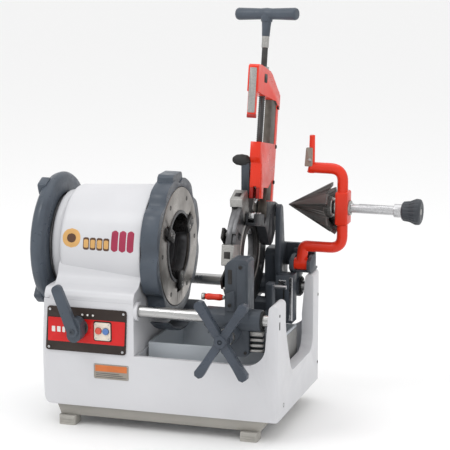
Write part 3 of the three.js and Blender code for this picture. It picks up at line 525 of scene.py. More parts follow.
def build_cover():
    left, right = DRUM_RADII
    inner_left, inner_right = DRUM_LEFT + DRUM_WALL, DRUM_RIGHT - DRUM_WALL
    drum = rounded([(DRUM_MOUTH, DRUM_LEFT, 0), (left, DRUM_LEFT, 16), (right, DRUM_RIGHT, 4),
                    (DRUM_MOUTH, DRUM_RIGHT, 0), (DRUM_MOUTH, inner_right, 0),
                    (right - DRUM_WALL, inner_right, 4), (left - DRUM_WALL, inner_left, 4),
                    (DRUM_MOUTH, inner_left, 0)], 2, 8)
    piece("drum_shell", lathe(drum, sides=160), WHITE, "base", "drum_cover", sharp=50)
    # known fault: the hollows leave the skirt's lower half standing in the spindle's bore
    skirt = rounded(mirrored([(0, BLOCK_TOP, 0), (0, 336, 10), (8, 350, 14), (38, 357, 30),
                              (57, 374, 40), (66, 402, 40), (104, 431, 0)]), 8, 10)
    piece("cover_skirt", prism(skirt, "x", DRUM_LEFT + 1, DRUM_RIGHT), WHITE, "base", "drum_cover",
          cut=[hollow(inner_left, inner_right, left - DRUM_WALL, right - DRUM_WALL),
               hollow(-610, -360, 110, 110), box(-588, -378, 20, 390, 300, 344)], sharp=35)
    ledge = rounded(mirrored([(0, BLOCK_TOP, 0), (0, 336, 12), (10, 353, 16)]), 8, 8)
    piece("cover_ledge", prism(ledge, "x", BLOCK_LEFT + 0.5, DRUM_LEFT + 4), WHITE, "base",
          cut=[hollow(-610, -560, 100, 100)], bevel=2.0, segments=3)
    seam = rectangle(-597, -367.5, 1.0, DEPTH - 1.0, 8)
    piece("cover_seam", prism(seam, "z", BLOCK_TOP - 0.6, BLOCK_TOP + 1.4), SEAM, "base",
          cut=[box(-589, -375, 9, DEPTH - 9, BLOCK_TOP - 5, BLOCK_TOP + 5)])


def drum_patch(name, x0, x1, low, high, material, corner, lift=0.25):
    """A printed patch on the drum's front: x range, angles above the axis, corner radius."""
    rows, columns = 15, 9
    arc = math.radians(high - low) * drum_radius(x0)
    points, faces = [], []
    for radius_shift in (lift, -1.0):
        for row in range(rows):
            along = arc * row / (rows - 1)
            near = max(0.0, corner - min(along, arc - along))
            inset = corner - math.sqrt(max(0.0, corner ** 2 - near ** 2))
            turn = math.radians(low + (high - low) * row / (rows - 1))
            for column in range(columns):
                x = x0 + inset + (x1 - x0 - 2 * inset) * column / (columns - 1)
                radius = drum_radius(x) + radius_shift
                points.append((x, SPINDLE_Y - radius * math.cos(turn),
                               SPINDLE_Z + radius * math.sin(turn)))
    size = rows * columns
    for row in range(rows - 1):
        for column in range(columns - 1):
            a = row * columns + column
            quad = (a, a + 1, a + columns + 1, a + columns)
            faces += [quad, tuple(size + i for i in quad)]
    edge = [*range(columns), *[r * columns + columns - 1 for r in range(1, rows)],
            *range(size - 2, size - columns - 1, -1), *[r * columns for r in range(rows - 2, 0, -1)]]
    for i, a in enumerate(edge):
        b = edge[(i + 1) % len(edge)]
        faces.append((a, b, size + b, size + a))
    piece(name, (points, faces), material, "base")


def build_badge():
    """A plain badge in place of the maker's print: a disc and two rows of bars, no lettering."""
    drum_patch("badge_disc", -574, -526, 5, 24, TAN, 23)
    drum_patch("badge_disc_centre", -562, -538, 10, 19, DARK_BROWN, 11, 0.5)
    for i, x in enumerate((-518, -500, -482, -464)):
        drum_patch(f"badge_back_{i + 1}", x, x + 16, 4, 16, DARK_BROWN, 4)
        drum_patch(f"badge_tan_{i + 1}", x + 2, x + 14, 6, 14, TAN, 3, 0.5)
    for i, x in enumerate((-443, -422, -401)):
        drum_patch(f"badge_maroon_{i + 1}", x, x + 18, 4, 24, MAROON, 7)


def build_housing():
    from_cad("housing", "base_housing", WHITE, "base", bevel=4.0, segments=4)
    from_cad("bearing_cover", "rear_cover", WHITE, "base", bevel=1.5)
    from_cad("skirt", "under_frame", BEIGE, "base", bevel=2.0)
    for foot in [f"foot_{end}_{side}" for end in ("front", "rear") for side in ("left", "right")]:
        low, high = span(foot)
        block = prism(rectangle(low[0], high[0], low[1], high[1], 7), "z", low[2], high[2])
        grooves = [box(low[0] - 1, high[0] + 1, low[1] - 1, low[1] + 1.2, z, z + 2.4) for z in (6, 12)]
        piece(foot + "_block", block, RUBBER, "base", foot, cut=grooves, bevel=1.6, segments=3)
    # rating plate, with no text: a coloured upper half, a plain lower half and four rivets
    plaque("rating_plate", (-471, -380, 130, 168), 3, -1.0, 0.4, PLATE, bevel=0.3)
    plaque("rating_plate_colour", (-467, -384, 149, 165), 2, -1.3, -0.4, ORANGE, bevel=0.15)
    for i, z in enumerate((135, 139.5, 144)):
        plaque(f"rating_plate_line_{i + 1}", (-465, -386 - 9 * i, z - 0.7, z + 0.7), 0.6, -1.2, -0.4,
               SEAM)
    screws("rating_plate_rivet", [(x, -1.0, z) for z in (165.5, 132.5) for x in (-468.5, -382.5)],
           FRONT, 1.3, 1.0, BRIGHT, "base")


def build_base():
    from_cad("tray", "chip_tray", TRAY, "base", bevel=1.6, segments=3)
    piece("tray_end_screen", prism(rectangle(74, 336, 104, 209, 4), "x", -41.8, -40.2), SCREEN, "base",
          bevel=0.4)
    from_cad("catcher", "oil_catcher", CHARCOAL, "base", bevel=1.5)
    from_cad("pump", "oil_pump", IRON, "base", bevel=1.6)
    from_cad("inlet", "power_inlet", KNOB, "base", bevel=1.5)
    for i, x in enumerate((-464, -455, -446)):
        plaque(f"inlet_pin_{i + 1}", (x - 1.1, x + 1.1, 138, 147), 0.8, DEPTH + 2, DEPTH + 15, BRIGHT,
               bevel=0.3)
    from_cad("rack", "feed_rack", SATIN, "base", bevel=0.4, segments=1)
    for side in ("front", "back"):
        low, high = span(side + "_rail")
        y, z = centre(side + "_rail")[1:]
        radius = (high[2] - low[2]) / 2
        rail = turned([(0, low[0]), (radius, low[0]), (radius, high[0]), (0, high[0])], 1.5, y, z, 64)
        piece(side + "_guide_rail", rail, RAIL, "base", side + "_rail")
        piece(side + "_rail_collar", ring(radius + 0.2, radius + 9, -367, -357, 2.0, y, z, 64), WHITE,
              "base")
    for node, material in (("headstock_frame", IRON), ("gearbox", IRON), ("motor", MOTOR),
                           ("spindle_front_bearing", SATIN), ("spindle_rear_bearing", SATIN)):
        from_cad(node + "_piece", node, material, "base")
    # a drain plug low on the housing's right end, and the screws of its right end and back
    piece("drain_plug", cap_screw((-1, 62, 84), RIGHT, 7, 1.0), BLACK, "base")
    piece("rail_slot", prism(rectangle(17, 25, 284, 304, 3.5), "x", -0.4, 0.5), BLACK, "base", bevel=0.2)
    screws("end_screw", [(-0.6, y, z) for y, z in ((21, 319), (395, 102), (395, 283))], RIGHT, 4.0, 1.4,
           BLACK, "base")
    screws("back_screw", [(x, DEPTH, z) for x in (-585, -390) for z in (100, 290)], BACK, 4.5, 2.5,
           BLACK, "base")


def build_panel():
    front = -4.0
    from_cad("panel", "control_panel", PANEL, "base")
    band = rounded([(-590, 219), (-389, 219), (-386, 280), (-588, 280)], 3)
    openings = [prism(circle(LEVER_X, LEVER_Z, 24, 48), "y", -10, 4),
                prism(rectangle(-469, -421, 227, 278, 6), "y", -10, 4)]
    piece("panel_band", prism(band, "y", front - 0.7, front + 0.4), BAND, "base", cut=openings,
          bevel=0.2)
    bezel = lathe([(20.4, -4.5), (23.2, -4.5), (23.2, -1.0), (20.4, -1.0)], LEVER_X, LEVER_Z, 64, "y")
    piece("lever_bezel", bezel, SEAM, "base")
    # plain white marks at the lever's positions
    for i, (x, width) in enumerate(((-579, 9), (-565, 9), (-551, 7))):
        plaque(f"panel_mark_{i + 1}", (x, x + width, 243, 257), 1.5, front - 1.1, front - 0.3, MARK)
    for i, x in enumerate((-498, -484, -470)):
        piece(f"panel_dot_{i + 1}", prism(circle(x, 291, 2.6, 24), "y", front - 0.9, front + 0.2), MARK,
              "base")
    screws("panel_screw", [(x, front, z) for x, z in ((-583, 300), (-390, 300), (-588, 203), (-394, 203))],
           FRONT, 3.2, 1.6, BRIGHT, "base")


def build_buttons():
    from_cad("switch_cover", "switch_plate", CREAM, "base", bevel=1.2, segments=3)
    for node, material in (("stop_button", RED_BUTTON), ("start_button", BLUE_BUTTON)):
        low, high = span(node)
        x, z = (low[0] + high[0]) / 2, (low[2] + high[2]) / 2
        radius = (high[0] - low[0]) / 2
        cap = turned([(0, low[1] + 1.0), (radius * 0.7, low[1] + 0.2), (radius, low[1] + 1.5),
                      (radius, high[1]), (0, high[1])], 1.0, x, z, 48, "y")
        piece(node + "_cap", cap, material, node, node)
    screws("switch_screw", [(x, -8.0, z) for z in (234.5, 270.5) for x in (-462, -428)], FRONT, 2.0, 0.8,
           BRIGHT, "base")


def build_lever():
    from_cad("shift_lever_arm", "shift_lever", SLATE, "shift_lever", bevel=4.5, segments=4)
    piece("shift_lever_nut", cap_screw((LEVER_X, -53.5, LEVER_Z), FRONT, 7, 3.0), CHARCOAL,
          "shift_lever")


# ---- headstock
JAW_ANGLES = (30, 150, 270)
LOBES, LOBE_RADIUS, VALLEY_DEPTH, LOBE_TURN = 8, 175, 14, math.radians(4)


def lobed_ring(steps=320):
    """The hammer ring's outline: eight lobes with narrow valleys between them."""
    points = []
    for i in range(steps):
        angle = 2 * math.pi * i / steps
        valley = math.cos(LOBES // 2 * (angle + LOBE_TURN))
        radius = LOBE_RADIUS - VALLEY_DEPTH * abs(valley) ** 7
        points.append((SPINDLE_Y + radius * math.cos(angle), SPINDLE_Z + radius * math.sin(angle)))
    return points


def build_hammer_ring():
    low, high = span("chuck_hand_ring")
    lug = prism(rounded([(SPINDLE_Y - 44, 585), (SPINDLE_Y + 44, 585), (SPINDLE_Y + 36, 613),
                         (SPINDLE_Y + 28, 618), (SPINDLE_Y - 28, 618), (SPINDLE_Y - 36, 613)], 5),
                "x", -359, -318)
    bore = lathe([(0, -372), (151.2, -372), (151.2, -310), (0, -310)], sides=128)
    piece("hammer_ring", prism(lobed_ring(), "x", low[0], high[0]), SLATE, "chuck_hand_ring",
          "chuck_hand_ring", add=[lug], cut=[bore], bevel=4.0, segments=4, sharp=50)


def build_chuck():
    low, high = span("chuck_face_plate")
    slots = [spoke(66, 117, 17, 5, low[0] - 2, high[0] + 3, a) for a in JAW_ANGLES]
    piece("face_plate", ring(84, 150, low[0], high[0], 1.2, sides=128), FACED, "spindle",
          "chuck_face_plate", cut=slots, bevel=0.8)
    screw_circle("face_plate_screw", (high[0] - 1.0, 128), RIGHT, 6.0, 1.5, range(0, 360, 60), BLACK,
                 "spindle")
    piece("face_plate_lip", ring(84, 92, high[0] - 1.5, high[0] + 2.0, 1.2, sides=128), DARK_STEEL,
          "spindle", cut=slots)
    from_cad("chuck_body_piece", "chuck_body", DARK_STEEL, "spindle")
    pad = [(62, -11), (74, -16), (106, -16), (110, 0), (106, 16), (74, 16), (62, 11)]
    for i, angle in enumerate(JAW_ANGLES, 1):
        body = f"chuck_jaw_{i}"
        jaw = from_cad(f"{body}_piece", body, JAW, body, bevel=0.8)
        carve(jaw, [about_spindle(box(x, x + 2.2, SPINDLE_Y + 60, SPINDLE_Y + 64.2, SPINDLE_Z - 14,
                                      SPINDLE_Z + 14), angle) for x in range(-338, -317, 5)])
        piece(f"jaw_pad_{i}", radial(pad, 2, -312.6, -307.5, angle), JAW, body, bevel=1.4, segments=3)
        for k, out in enumerate((76, 96)):
            head = cap_screw((-308.0, SPINDLE_Y + out, SPINDLE_Z), RIGHT, 5.0, 1.8)
            piece(f"jaw_pad_screw_{i}_{k + 1}", about_spindle(head, angle), SATIN, body)
        from_cad(f"rear_jaw_{i}_piece", f"rear_jaw_{i}", DARK_STEEL, f"rear_jaw_{i}", bevel=0.8)
    from_cad("spindle_tube_piece", "spindle_tube", FACED, "spindle")
    from_cad("spindle_gear_piece", "spindle_gear", IRON, "spindle", bevel=0.6, segments=1)
    from_cad("drive_pinion_piece", "drive_pinion", SATIN, "drive_pinion", bevel=0.4, segments=1)
    from_cad("rear_chuck_piece", "rear_chuck_body", DARK_STEEL, "spindle")


def build_rear_ring():
    body, inner = "rear_hand_ring", 122
    rim = rounded([(inner, -651, 2), (128, -655, 8), (158, -655, 14), (168, -649, 12), (172, -637, 8),
                   (172, -631, 8), (166, -621, 12), (150, -617, 14), (inner, -617, 2)], 4, 6)
    web = [(64, -646), (inner + 6, -646), (inner + 6, -632.6), (64, -632.6)]
    piece("rear_ring", lathe(rim, sides=160), SLATE, body, body, sharp=50)
    piece("rear_ring_web", lathe(web, sides=96), CHARCOAL, body, sharp=50)
    for i, angle in enumerate((112, 232, 352)):
        piece(f"rear_ring_grip_{i + 1}", spoke(140, 175.5, 20, 9, -664, -640, angle), SLATE, body,
              bevel=4.0, segments=4)
    screw_circle("rear_ring_screw", (-645.5, 96), LEFT, 5.5, 3.5, range(22, 360, 60), BLACK, body)


# ---- carriage
WHEEL_X, WHEEL_Z = -117, 274


def build_carriage():
    body = "carriage"
    from_cad("casting", "carriage_casting", CHARCOAL, body, bevel=3.0, segments=3)
    from_cad("bracket", "rear_bracket", CHARCOAL, body, bevel=2.0, segments=3)
    # front post: a raised rib beside a recess, the recess a flat black plate of painted shade, with its
    # bolts
    piece("post_rib", prism(rounded([(-100, 326), (-76, 326), (-76, 446), (-100, 446)], 5), "y", -9.0, -3),
          CHARCOAL, body, bevel=2.0, segments=3)
    # painted shade: a flat black plate just proud of the post stands in for the dark of the recess, which
    # is not cut
    plaque("post_recess_painted_shade", (-122, -112, 396, 432), 2.5, -6.6, -5, BLACK, body, bevel=0.3)
    piece("post_shoulder", prism(rounded([(-128, 330), (-104, 330), (-104, 384), (-128, 372)], 6), "y",
                                 -10, -3), CHARCOAL, body, bevel=2.0, segments=3)
    # ribbed guard beside the apron, under the front sleeve
    piece("guard_back", box(-76, -42, 34, 46, 220, 277), CHARCOAL, body, bevel=1.5)
    for i, (z, height) in enumerate(((269, 11), (254, 8), (240, 8), (227, 7))):
        piece(f"guard_rib_{i + 1}", box(-75.5, -42.5, 22, 35, z - height / 2, z + height / 2), SATIN,
              body, bevel=1.2)
    # rear block: a web under the cutter's pivot, a machined edge, a pad and a groove
    piece("rear_web", prism(rounded([(334, 264), (402, 264), (402, 404), (388, 409), (346, 409),
                                     (334, 396)], 8), "x", -126.4, -95), CHARCOAL, body, bevel=2.0,
          segments=3)
    piece("block_edge", prism(rectangle(299.2, 304, 232, 346, 1.2), "x", -52, -43.4), BRIGHT, body,
          bevel=0.5)
    plaque("block_pad", (-80, -60, 326, 338), 2, 298.6, 301, BRIGHT, body, bevel=0.4)
    plaque("block_groove", (-68, -64, 234, 316), 1.5, 299.2, 301, BLACK, body)
    screws("post_bolt", [(-90, -9.5, 440), (-117, -9.5, 345)], FRONT, 4.5, 3.0, BLACK, body)
    screws("apron_bolt", [(x, 14.2, z) for z in (300, 222) for x in (-139, -84)], FRONT, 4.0, 3.0, BLACK,
           body)
    for side, y in (("front", 21), ("back", 389)):
        for end, x0, x1 in (("left", -186, -180), ("right", -46, -40)):
            piece(f"wiper_{side}_{end}", ring(15.4, 23.5, x0, x1, 1.2, y, 304, 64), RUBBER_BLACK, body)
    # bright stop rod between the posts, and the ribs on the bridge
    piece("stop_rod", bar((-74, 228, 338), (-40, 228, 338), 5), BRIGHT, body)
    piece("stop_rod_block", prism(rectangle(214, 242, 280, 348, 4), "x", -90, -72), CHARCOAL, body,
          bevel=1.5)
    for i, z in enumerate((233, 241, 249, 257)):
        plaque(f"bridge_rib_{i + 1}", (-88, -62, z - 2.4, z + 2.4), 1.5, 73.0, 78, TRAY, body, bevel=0.5)
    # grip of the carriage lock
    low, high = span("carriage_grip")
    y, z = centre("carriage_grip")[1:]
    grip = turned([(0, -199), (6.2, -199), (8.6, -192), (7.6, -176), (8.4, -162), (6.2, -154),
                   (0, -154)], 2.0, y, z, 40)
    piece("lock_grip", grip, RED, body, "carriage_grip")
    rod = turned([(0, low[0] + 4), (5, low[0] + 4), (5, high[0]), (0, high[0])], 0.8, y, z, 32)
    piece("lock_rod", rod, SATIN, body)
    piece("lock_nut", hexagon_x(y, z, 9, low[0], -199.5), SATIN, body, bevel=0.8)


def build_handwheel():
    from_cad("wheel_arms", "handwheel", WHEEL, "handwheel", bevel=4.5, segments=4)
    piece("wheel_nut", cap_screw((WHEEL_X, -91.5, WHEEL_Z), FRONT, 6.5, 0.5), WHEEL, "handwheel")
    collar = lathe([(9.4, -40.2), (21, -40.2), (21, -35.5), (9.4, -35.5)], WHEEL_X, WHEEL_Z, 64, "y")
    piece("wheel_collar", collar, SATIN, "handwheel")
    from_cad("feed_pinion_piece", "feed_pinion", SATIN, "handwheel", bevel=0.3, segments=1)


# ---- die head
HOLDERS = ((66, 149), (110, 163), (172, 151), (216, 149), (262, 149))  # angle, outer radius
HOLDER_OUT = 145
HOLDER_RIGHT = -126.6


def build_cam_plate():
    body = "cam_plate"
    slots = [spoke(96, 122, 9, 8, -134, -120, a + 14) for a in (45, 135, 225, 315)]
    slots += [spoke(136, 160, 22, 6, -142, -120, a) for a in (20, 160, 200)]
    piece("lever_plate", ring(66, 146, -138, -128, 1.0, sides=128), DARK_STEEL, body, body, cut=slots,
          bevel=1.2)
    stem, root = [prism(rectangle(SPINDLE_Y - 8, SPINDLE_Y + 8, SPINDLE_Z + out, 656, 4), "x", left, -129)
                  for out, left in ((136, -137), (152, -149))]
    piece("lever_stem", stem, CHARCOAL, body, add=[root], bevel=1.5)
    knob = turned([(0, -174), (6, -173), (12.5, -164), (14.5, -150), (12.5, -136), (6, -127),
                   (0, -126.6)], 5.0, SPINDLE_Y, 661, 48, steps=6)
    piece("lever_knob", knob, RUBBER_BLACK, body)
    screw_circle("lever_plate_screw", (-129.0, 118), RIGHT, 5.5, 2.5, range(8, 360, 90), BLACK, body)
    piece("scroll_rim", ring(58.5, 78, -137, -126.8, 1.5, sides=96), BLACK, body)
    piece("face_track", ring(84, 92, -129, -126.9, 0.8, sides=128), SATIN, body)
    block = [(99, -23), (HOLDER_OUT, -27), (HOLDER_OUT, 27), (99, 23)]
    for i, (angle, reach) in enumerate(HOLDERS):
        rim = [(HOLDER_OUT - 2.2, -27), (reach, -24), (reach, 24), (HOLDER_OUT - 2.2, 27)]
        piece(f"holder_{i + 1}", radial(block, 4, -138.2, HOLDER_RIGHT, angle), SATIN, body,
              add=[radial(rim, 1.5, -157.5, HOLDER_RIGHT, angle)], bevel=1.2, segments=3)
        piece(f"holder_slot_{i + 1}", spoke(144, reach + 0.6, 9, 2, -151, -135, angle), BLACK, body,
              bevel=0.6)


def build_die_head():
    from_cad("die_head_piece", "die_head_body", DARK_STEEL, "die_head", bevel=1.4, segments=3)
    build_cam_plate()
    for i in (1, 2, 3, 4):
        from_cad(f"thread_die_{i}_piece", f"thread_die_{i}", BRIGHT, f"thread_die_{i}", bevel=0.6)
    tab = [(84, -20), (145, -22), (148, 6), (84, 20)]
    for i, angle in enumerate((104, 154, 206, 258)):
        boss = about_spindle(box(-159, -151, SPINDLE_Y + 86, SPINDLE_Y + 97, SPINDLE_Z - 14,
                                 SPINDLE_Z + 14), angle)
        piece(f"die_head_tab_{i + 1}", radial(tab, 4, -164, -158, angle), BLACK, "die_head", add=[boss],
              bevel=1.0)
    pin = bar((-157, SPINDLE_Y + 128, SPINDLE_Z), (-150, SPINDLE_Y + 128, SPINDLE_Z), 5)
    for i, angle in enumerate((118, 150, 182, 214)):
        piece(f"die_head_pin_{i + 1}", about_spindle(pin, angle), SATIN, "die_head")


# ---- pipe cutter
LEAN = math.radians(12)
CUTTER_Y, CUTTER_Z = 205, 590  # where the cutter's own frame stands
CUTTER_LEFT, CUTTER_MID, CUTTER_RIGHT = -125.0, -112.0, -99.0


def leaning(shape):
    """From the cutter's own frame (x, v, u) to the machine's."""
    points, faces = shape
    sine, cosine = math.sin(LEAN), math.cos(LEAN)
    return [(x, CUTTER_Y + v * cosine + u * sine, CUTTER_Z - v * sine + u * cosine)
            for x, v, u in points], faces


def upright(point):
    """From the machine's frame to the cutter's own v and u."""
    across, above = point.y - CUTTER_Y, point.z - CUTTER_Z
    sine, cosine = math.sin(LEAN), math.cos(LEAN)
    return across * cosine - above * sine, across * sine + above * cosine


def on_guide(point):
    v, u = upright(point)
    return 62 < v < 103.5 and -20 < u < 226


def build_cutter():
    body, left, mid, right = "cutter", CUTTER_LEFT, CUTTER_MID, CUTTER_RIGHT
    made = from_cad("cutter_frame_piece", "cutter_frame", RED, body, bevel=2.6, segments=4)
    recolour(made, GUIDE, on_guide)
    recolour(made, BLACK_PAINT, lambda point: upright(point)[1] < -30)
    saddle = rounded([(98, -60), (122, -60), (136, -40), (138, -104), (130, -133), (118, -138),
                      (105, -131), (90, -112)], 4)
    piece("saddle_plate", leaning(prism(saddle, "x", left, right)), BLACK_PAINT, body, bevel=1.5)
    piece("front_strip", leaning(prism(rectangle(mid - 9, mid + 9, 184, 294, 3), "y", -93.4, -90)),
          SATIN, body, bevel=0.6)
    tip = rectangle(left + 2, right - 2, -92.4, -77.6, 3)
    piece("front_tip", leaning(prism(tip, "z", 171.5, 181)), DARK_RED, body, bevel=1.5)
    # painted shade: a flat black plate on the frame's right face stands in for the dark of a hole, which is
    # not cut
    recess = rounded([(-34, 262), (-8, 262), (-8, 284), (-34, 284)], 5)
    piece("head_recess_painted_shade", leaning(prism(recess, "x", right - 0.8, right + 0.5)), BLACK, body, bevel=0.2)
    piece("screw_bush", leaning(prism(circle(mid, 0, 13, 40), "z", 292, 303)), SATIN, body, bevel=1.0)
    for i, u in enumerate((20, 110, 210)):
        bolt = cap_screw((right - 3, 115, u), RIGHT, 5, 3.5)
        piece(f"spine_bolt_{i + 1}", leaning(bolt), BLACK, body)
    slide = from_cad("cutter_slide_piece", "cutter_slide", RED, "cutter_slide", bevel=2.0, segments=3)
    recolour(slide, DARK_RED, lambda point: upright(point)[1] < 3)
    # cutting wheel: a thin V-edged disc on its pin
    disc = lathe([(0, mid - 3), (12, mid - 3), (19.8, mid), (12, mid + 3), (0, mid + 3)], 0, -16, 64)
    piece("wheel_disc", leaning(disc), BRIGHT, "cutter_wheel", "cutter_wheel")
    for side in ("front", "back"):
        node = f"cutter_roller_{side}"
        from_cad(f"roller_{side}", node, BRIGHT, node, bevel=1.5, segments=3)
    build_cutter_screw()


def build_cutter_screw():
    body = "cutter_screw"
    thread = [(0, 116.5)]
    root, crest, pitch, u = 6.6, 8.0, 5.0, 117.0
    while u < 296:
        thread += [(root, u), (crest, u + pitch * 0.35), (crest, u + pitch * 0.6), (root, u + pitch * 0.95)]
        u += pitch
    thread += [(7.4, 302), (7.4, 372), (6.0, 376), (6.0, 400), (0, 400)]

    def stand(shape):
        return leaning(([(CUTTER_MID + y, z, x) for x, y, z in shape[0]], shape[1]))

    def stood(corners, radius):
        return stand(turned(corners, radius, 0, 0, 40))

    piece("cutter_thread", stand(lathe(thread, 0, 0, 32)), THREAD, body)
    piece("cutter_collar", stood([(0, 350), (9.0, 350), (9.0, 380), (0, 380)], 1.2), SATIN, body)
    piece("cutter_stem", stood([(0, 378), (9.6, 378), (10.8, 400), (13, 424), (0, 424)], 1.5), SLATE, body)
    turn = Matrix.Translation((CUTTER_MID, 0, 434)) @ Matrix.Rotation(math.radians(-14), 4, "Z")
    grip = turned([(0, -85), (13.4, -85), (15.5, -79), (14.6, -44), (13.8, -16), (15.2, 0),
                   (13.8, 16), (14.6, 44), (15.5, 79), (13.4, 85), (0, 85)], 4.0, 0, 0, 56)
    piece("cutter_grip", leaning(moved(grip, turn)), SLATE, body, body)
    piece("cutter_grip_boss", stood([(0, 414), (14, 414), (15, 424), (15, 434), (0, 434)], 2.0), SLATE,
          body)


# ---- reamer
REAMER_Y, REAMER_Z = 352.0, 525.0
ARM_Y, HINGE_Z = 345.0, 374
CONE_TIP, CONE_BASE = -68.0, 45.0


def on_shaft(inner, outer, x0, x1, radius=1.0):
    """A ring on the reamer's shaft."""
    return ring(inner, outer, x0, x1, radius, REAMER_Y, REAMER_Z, 48)


def hinge_bar(x0, x1, radius, sides):
    return bar((x0, ARM_Y, HINGE_Z), (x1, ARM_Y, HINGE_Z), radius, sides)


def build_reamer_arm():
    body, y, z = "reamer_arm", REAMER_Y, REAMER_Z
    route = [(x, ARM_Y, h) for x, h in ((-32, 380), (-26, 421), (74, 421), (74, 625), (-8, 625))]
    piece("reamer_tube", sweep(route, 13.8, 32, [0, 9, 32, 32, 0], 10), RED, body, body,
          add=[hinge_bar(-48.4, -14.6, 15, 40)], cut=[hinge_bar(-52, -10, 8.3, 32)], sharp=60)
    handle = [(-8, ARM_Y, 612), (-7, ARM_Y, 630), (-6, ARM_Y, 708)]
    piece("reamer_handle", sweep(handle, [11, 8.0, 7.0], 28), RED, body, bevel=1.5)
    hub = prism(rounded([(58, 482), (90, 482), (90, 568), (58, 568)], 6), "y", y - 24, y + 22)
    piece("reamer_hub", hub, RED, body, cut=[bar((40, y, z), (110, y, z), 12.3, 40)], bevel=4.0,
          segments=4)
    piece("reamer_bush", on_shaft(12.4, 19, 54, 58.6), SATIN, body)
    piece("reamer_bush_right", on_shaft(12.4, 19, 89.4, 95), SATIN, body)
    latch = rounded([(-23, 629), (-3, 629), (-3, 677), (-19, 677)], 3)
    piece("latch_plate", prism(latch, "y", ARM_Y - 13, ARM_Y - 5), PLATE, body, bevel=1.2)
    piece("latch_pin", prism(circle(-9, 646, 5, 32), "y", ARM_Y - 15, ARM_Y + 2), SATIN, body, bevel=0.8)


def build_reamer():
    build_reamer_arm()
    body, y, z, tip, base = "reamer", REAMER_Y, REAMER_Z, CONE_TIP, CONE_BASE
    # cone with six straight flutes that open towards a hollow back
    cone = turned([(0, tip), (1.5, tip), (62.8, base - 2), (62.8, base), (0, base)], 0.8, y, z, 144)
    flutes = [lathe([(27, base + 2), (27, base - 10), (38, base - 13), (57, base + 2)], y, z, 96)]
    for k in range(6):
        angle = math.radians(60 * k)
        run = []
        for x in (tip + 10, base + 8):
            radius = (x - tip) / (base - tip) * 63
            run.append((x, y + radius * math.cos(angle), z + radius * math.sin(angle)))
        flutes.append(sweep(run, [1.5, 21.0], 28))
    piece("cone", cone, CONE, body, "reamer_cone", cut=flutes, bevel=0.4, segments=1, sharp=35)
    piece("cone_washer", on_shaft(12.2, 24, base, base + 4, 0.8), SATIN, body)
    piece("cone_nut", hexagon_x(y, z, 18, base + 3.5, base + 9), BLACK, body, bevel=0.8,
          cut=[bar((base, y, z), (base + 12, y, z), 12.1, 32)])
    shaft = turned([(0, 25), (11.9, 25), (11.9, 244), (0, 244)], 1.0, y, z, 64)
    piece("shaft", shaft, BRIGHT, body, "reamer_shaft",
          cut=[box(100, 116, y - 13, y + 13, z + 9.4, z + 14)], bevel=0.6)
    piece("shaft_collar", on_shaft(12.0, 17, 206, 226, 1.5), BRIGHT, body)
    build_reamer_knob(y, z)


def build_reamer_knob(y, z):
    """A bell with shallow ribs round it."""
    low, high = span("reamer_knob")
    start, end = low[0], high[0]
    profile = rounded([(12.2, start), (20, start, 2), (24.5, start + 4, 3), (26.5, start + 20, 10),
                       (33, end - 15, 8), (32.4, end - 4, 5), (25, end, 4), (5, end - 3, 1)], 1, 5)
    points, faces = lathe(profile, y, z, 144)
    ribs, depth = 18, 1.6
    ribbed = []
    for px, py, pz in points:
        radial_part = Vector((py - y, pz - z))
        distance = radial_part.length
        share = min(1.0, max(0.0, (px - start - 6) / 10)) * min(1.0, max(0.0, (end - 4 - px) / 6))
        if distance > 20 and share > 0:
            angle = math.atan2(radial_part.y, radial_part.x)
            distance -= depth * share * (0.5 - 0.5 * math.cos(ribs * angle)) ** 3
            radial_part = radial_part.normalized() * distance
        ribbed.append((px, y + radial_part.x, z + radial_part.y))
    piece("bell_knob", (ribbed, faces), KNOB, "reamer", "reamer_knob", sharp=45)
    cap = turned([(0, end - 6), (8, end - 6), (8, end - 1.5), (0, end - 1.2)], 1.0, y, z, 40)
    piece("bell_cap", cap, SATIN, "reamer")


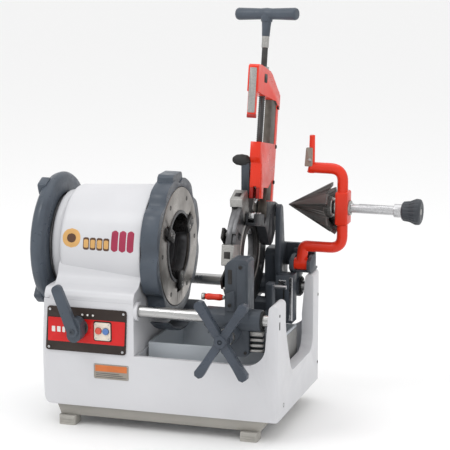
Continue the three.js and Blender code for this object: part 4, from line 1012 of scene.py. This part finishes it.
# ---- stage, light and camera
def add_to_scene(name, data):
    made = bpy.data.objects.new(name, data)
    bpy.context.scene.collection.objects.link(made)
    return made


def build_stage():
    floor = bpy.data.meshes.new("floor")
    size = 60.0
    floor.from_pydata([(-size, -size, 0), (size, -size, 0), (size, size, 0), (-size, size, 0)], [],
                      [(0, 1, 2, 3)])
    ground = add_to_scene("floor", floor)
    surface = Surface("studio_floor", 0.9)
    surface.inputs["Base Color"].default_value = (0.9, 0.9, 0.9, 1)
    floor.materials.append(surface.material)


def area_light(name, location, target, size, power):
    light = bpy.data.lights.new(name, "AREA")
    light.energy = power
    light.size = size
    lamp = add_to_scene(name, light)
    lamp.location = location
    aim = Vector(target) - Vector(location)
    lamp.rotation_euler = aim.to_track_quat("-Z", "Y").to_euler()


def build_light():
    world = bpy.data.worlds.new("studio")
    world.use_nodes = True
    background = world.node_tree.nodes["Background"]
    background.inputs["Color"].default_value = (1, 1, 1, 1)
    background.inputs["Strength"].default_value = 1.0
    bpy.context.scene.world = world
    bpy.context.scene.view_settings.view_transform = "Standard"
    middle = (0, 0, 0.4)
    area_light("key", (-1.4, -1.6, 3.2), middle, 1.2, 27)
    area_light("fill", (2.6, -2.2, 1.4), middle, 2.0, 3)
    area_light("top", (0.2, 0.6, 3.0), middle, 2.0, 14)


def build_camera():
    """A long lens to the right of the machine's front, a little above it, as in the photo."""
    azimuth, elevation = math.radians(16.9), math.radians(12.2)
    back = Vector((math.sin(azimuth) * math.cos(elevation), -math.cos(azimuth) * math.cos(elevation),
                   math.sin(elevation)))
    camera = bpy.data.cameras.new("camera")
    camera.sensor_width = 36.0
    camera.lens = 157.3
    camera.clip_end = 100.0
    eye = add_to_scene("camera", camera)
    eye.location = at(1203.5, -4393.3, 1532.4)
    eye.rotation_euler = back.to_track_quat("Z", "Y").to_euler()
    bpy.context.scene.camera = eye


for build in (build_camera, build_stage, build_light, build_cover, build_badge, build_housing,
              build_base, build_panel, build_buttons, build_lever, build_hammer_ring, build_chuck,
              build_rear_ring, build_carriage, build_handwheel, build_die_head, build_cutter,
              build_reamer):
    build()
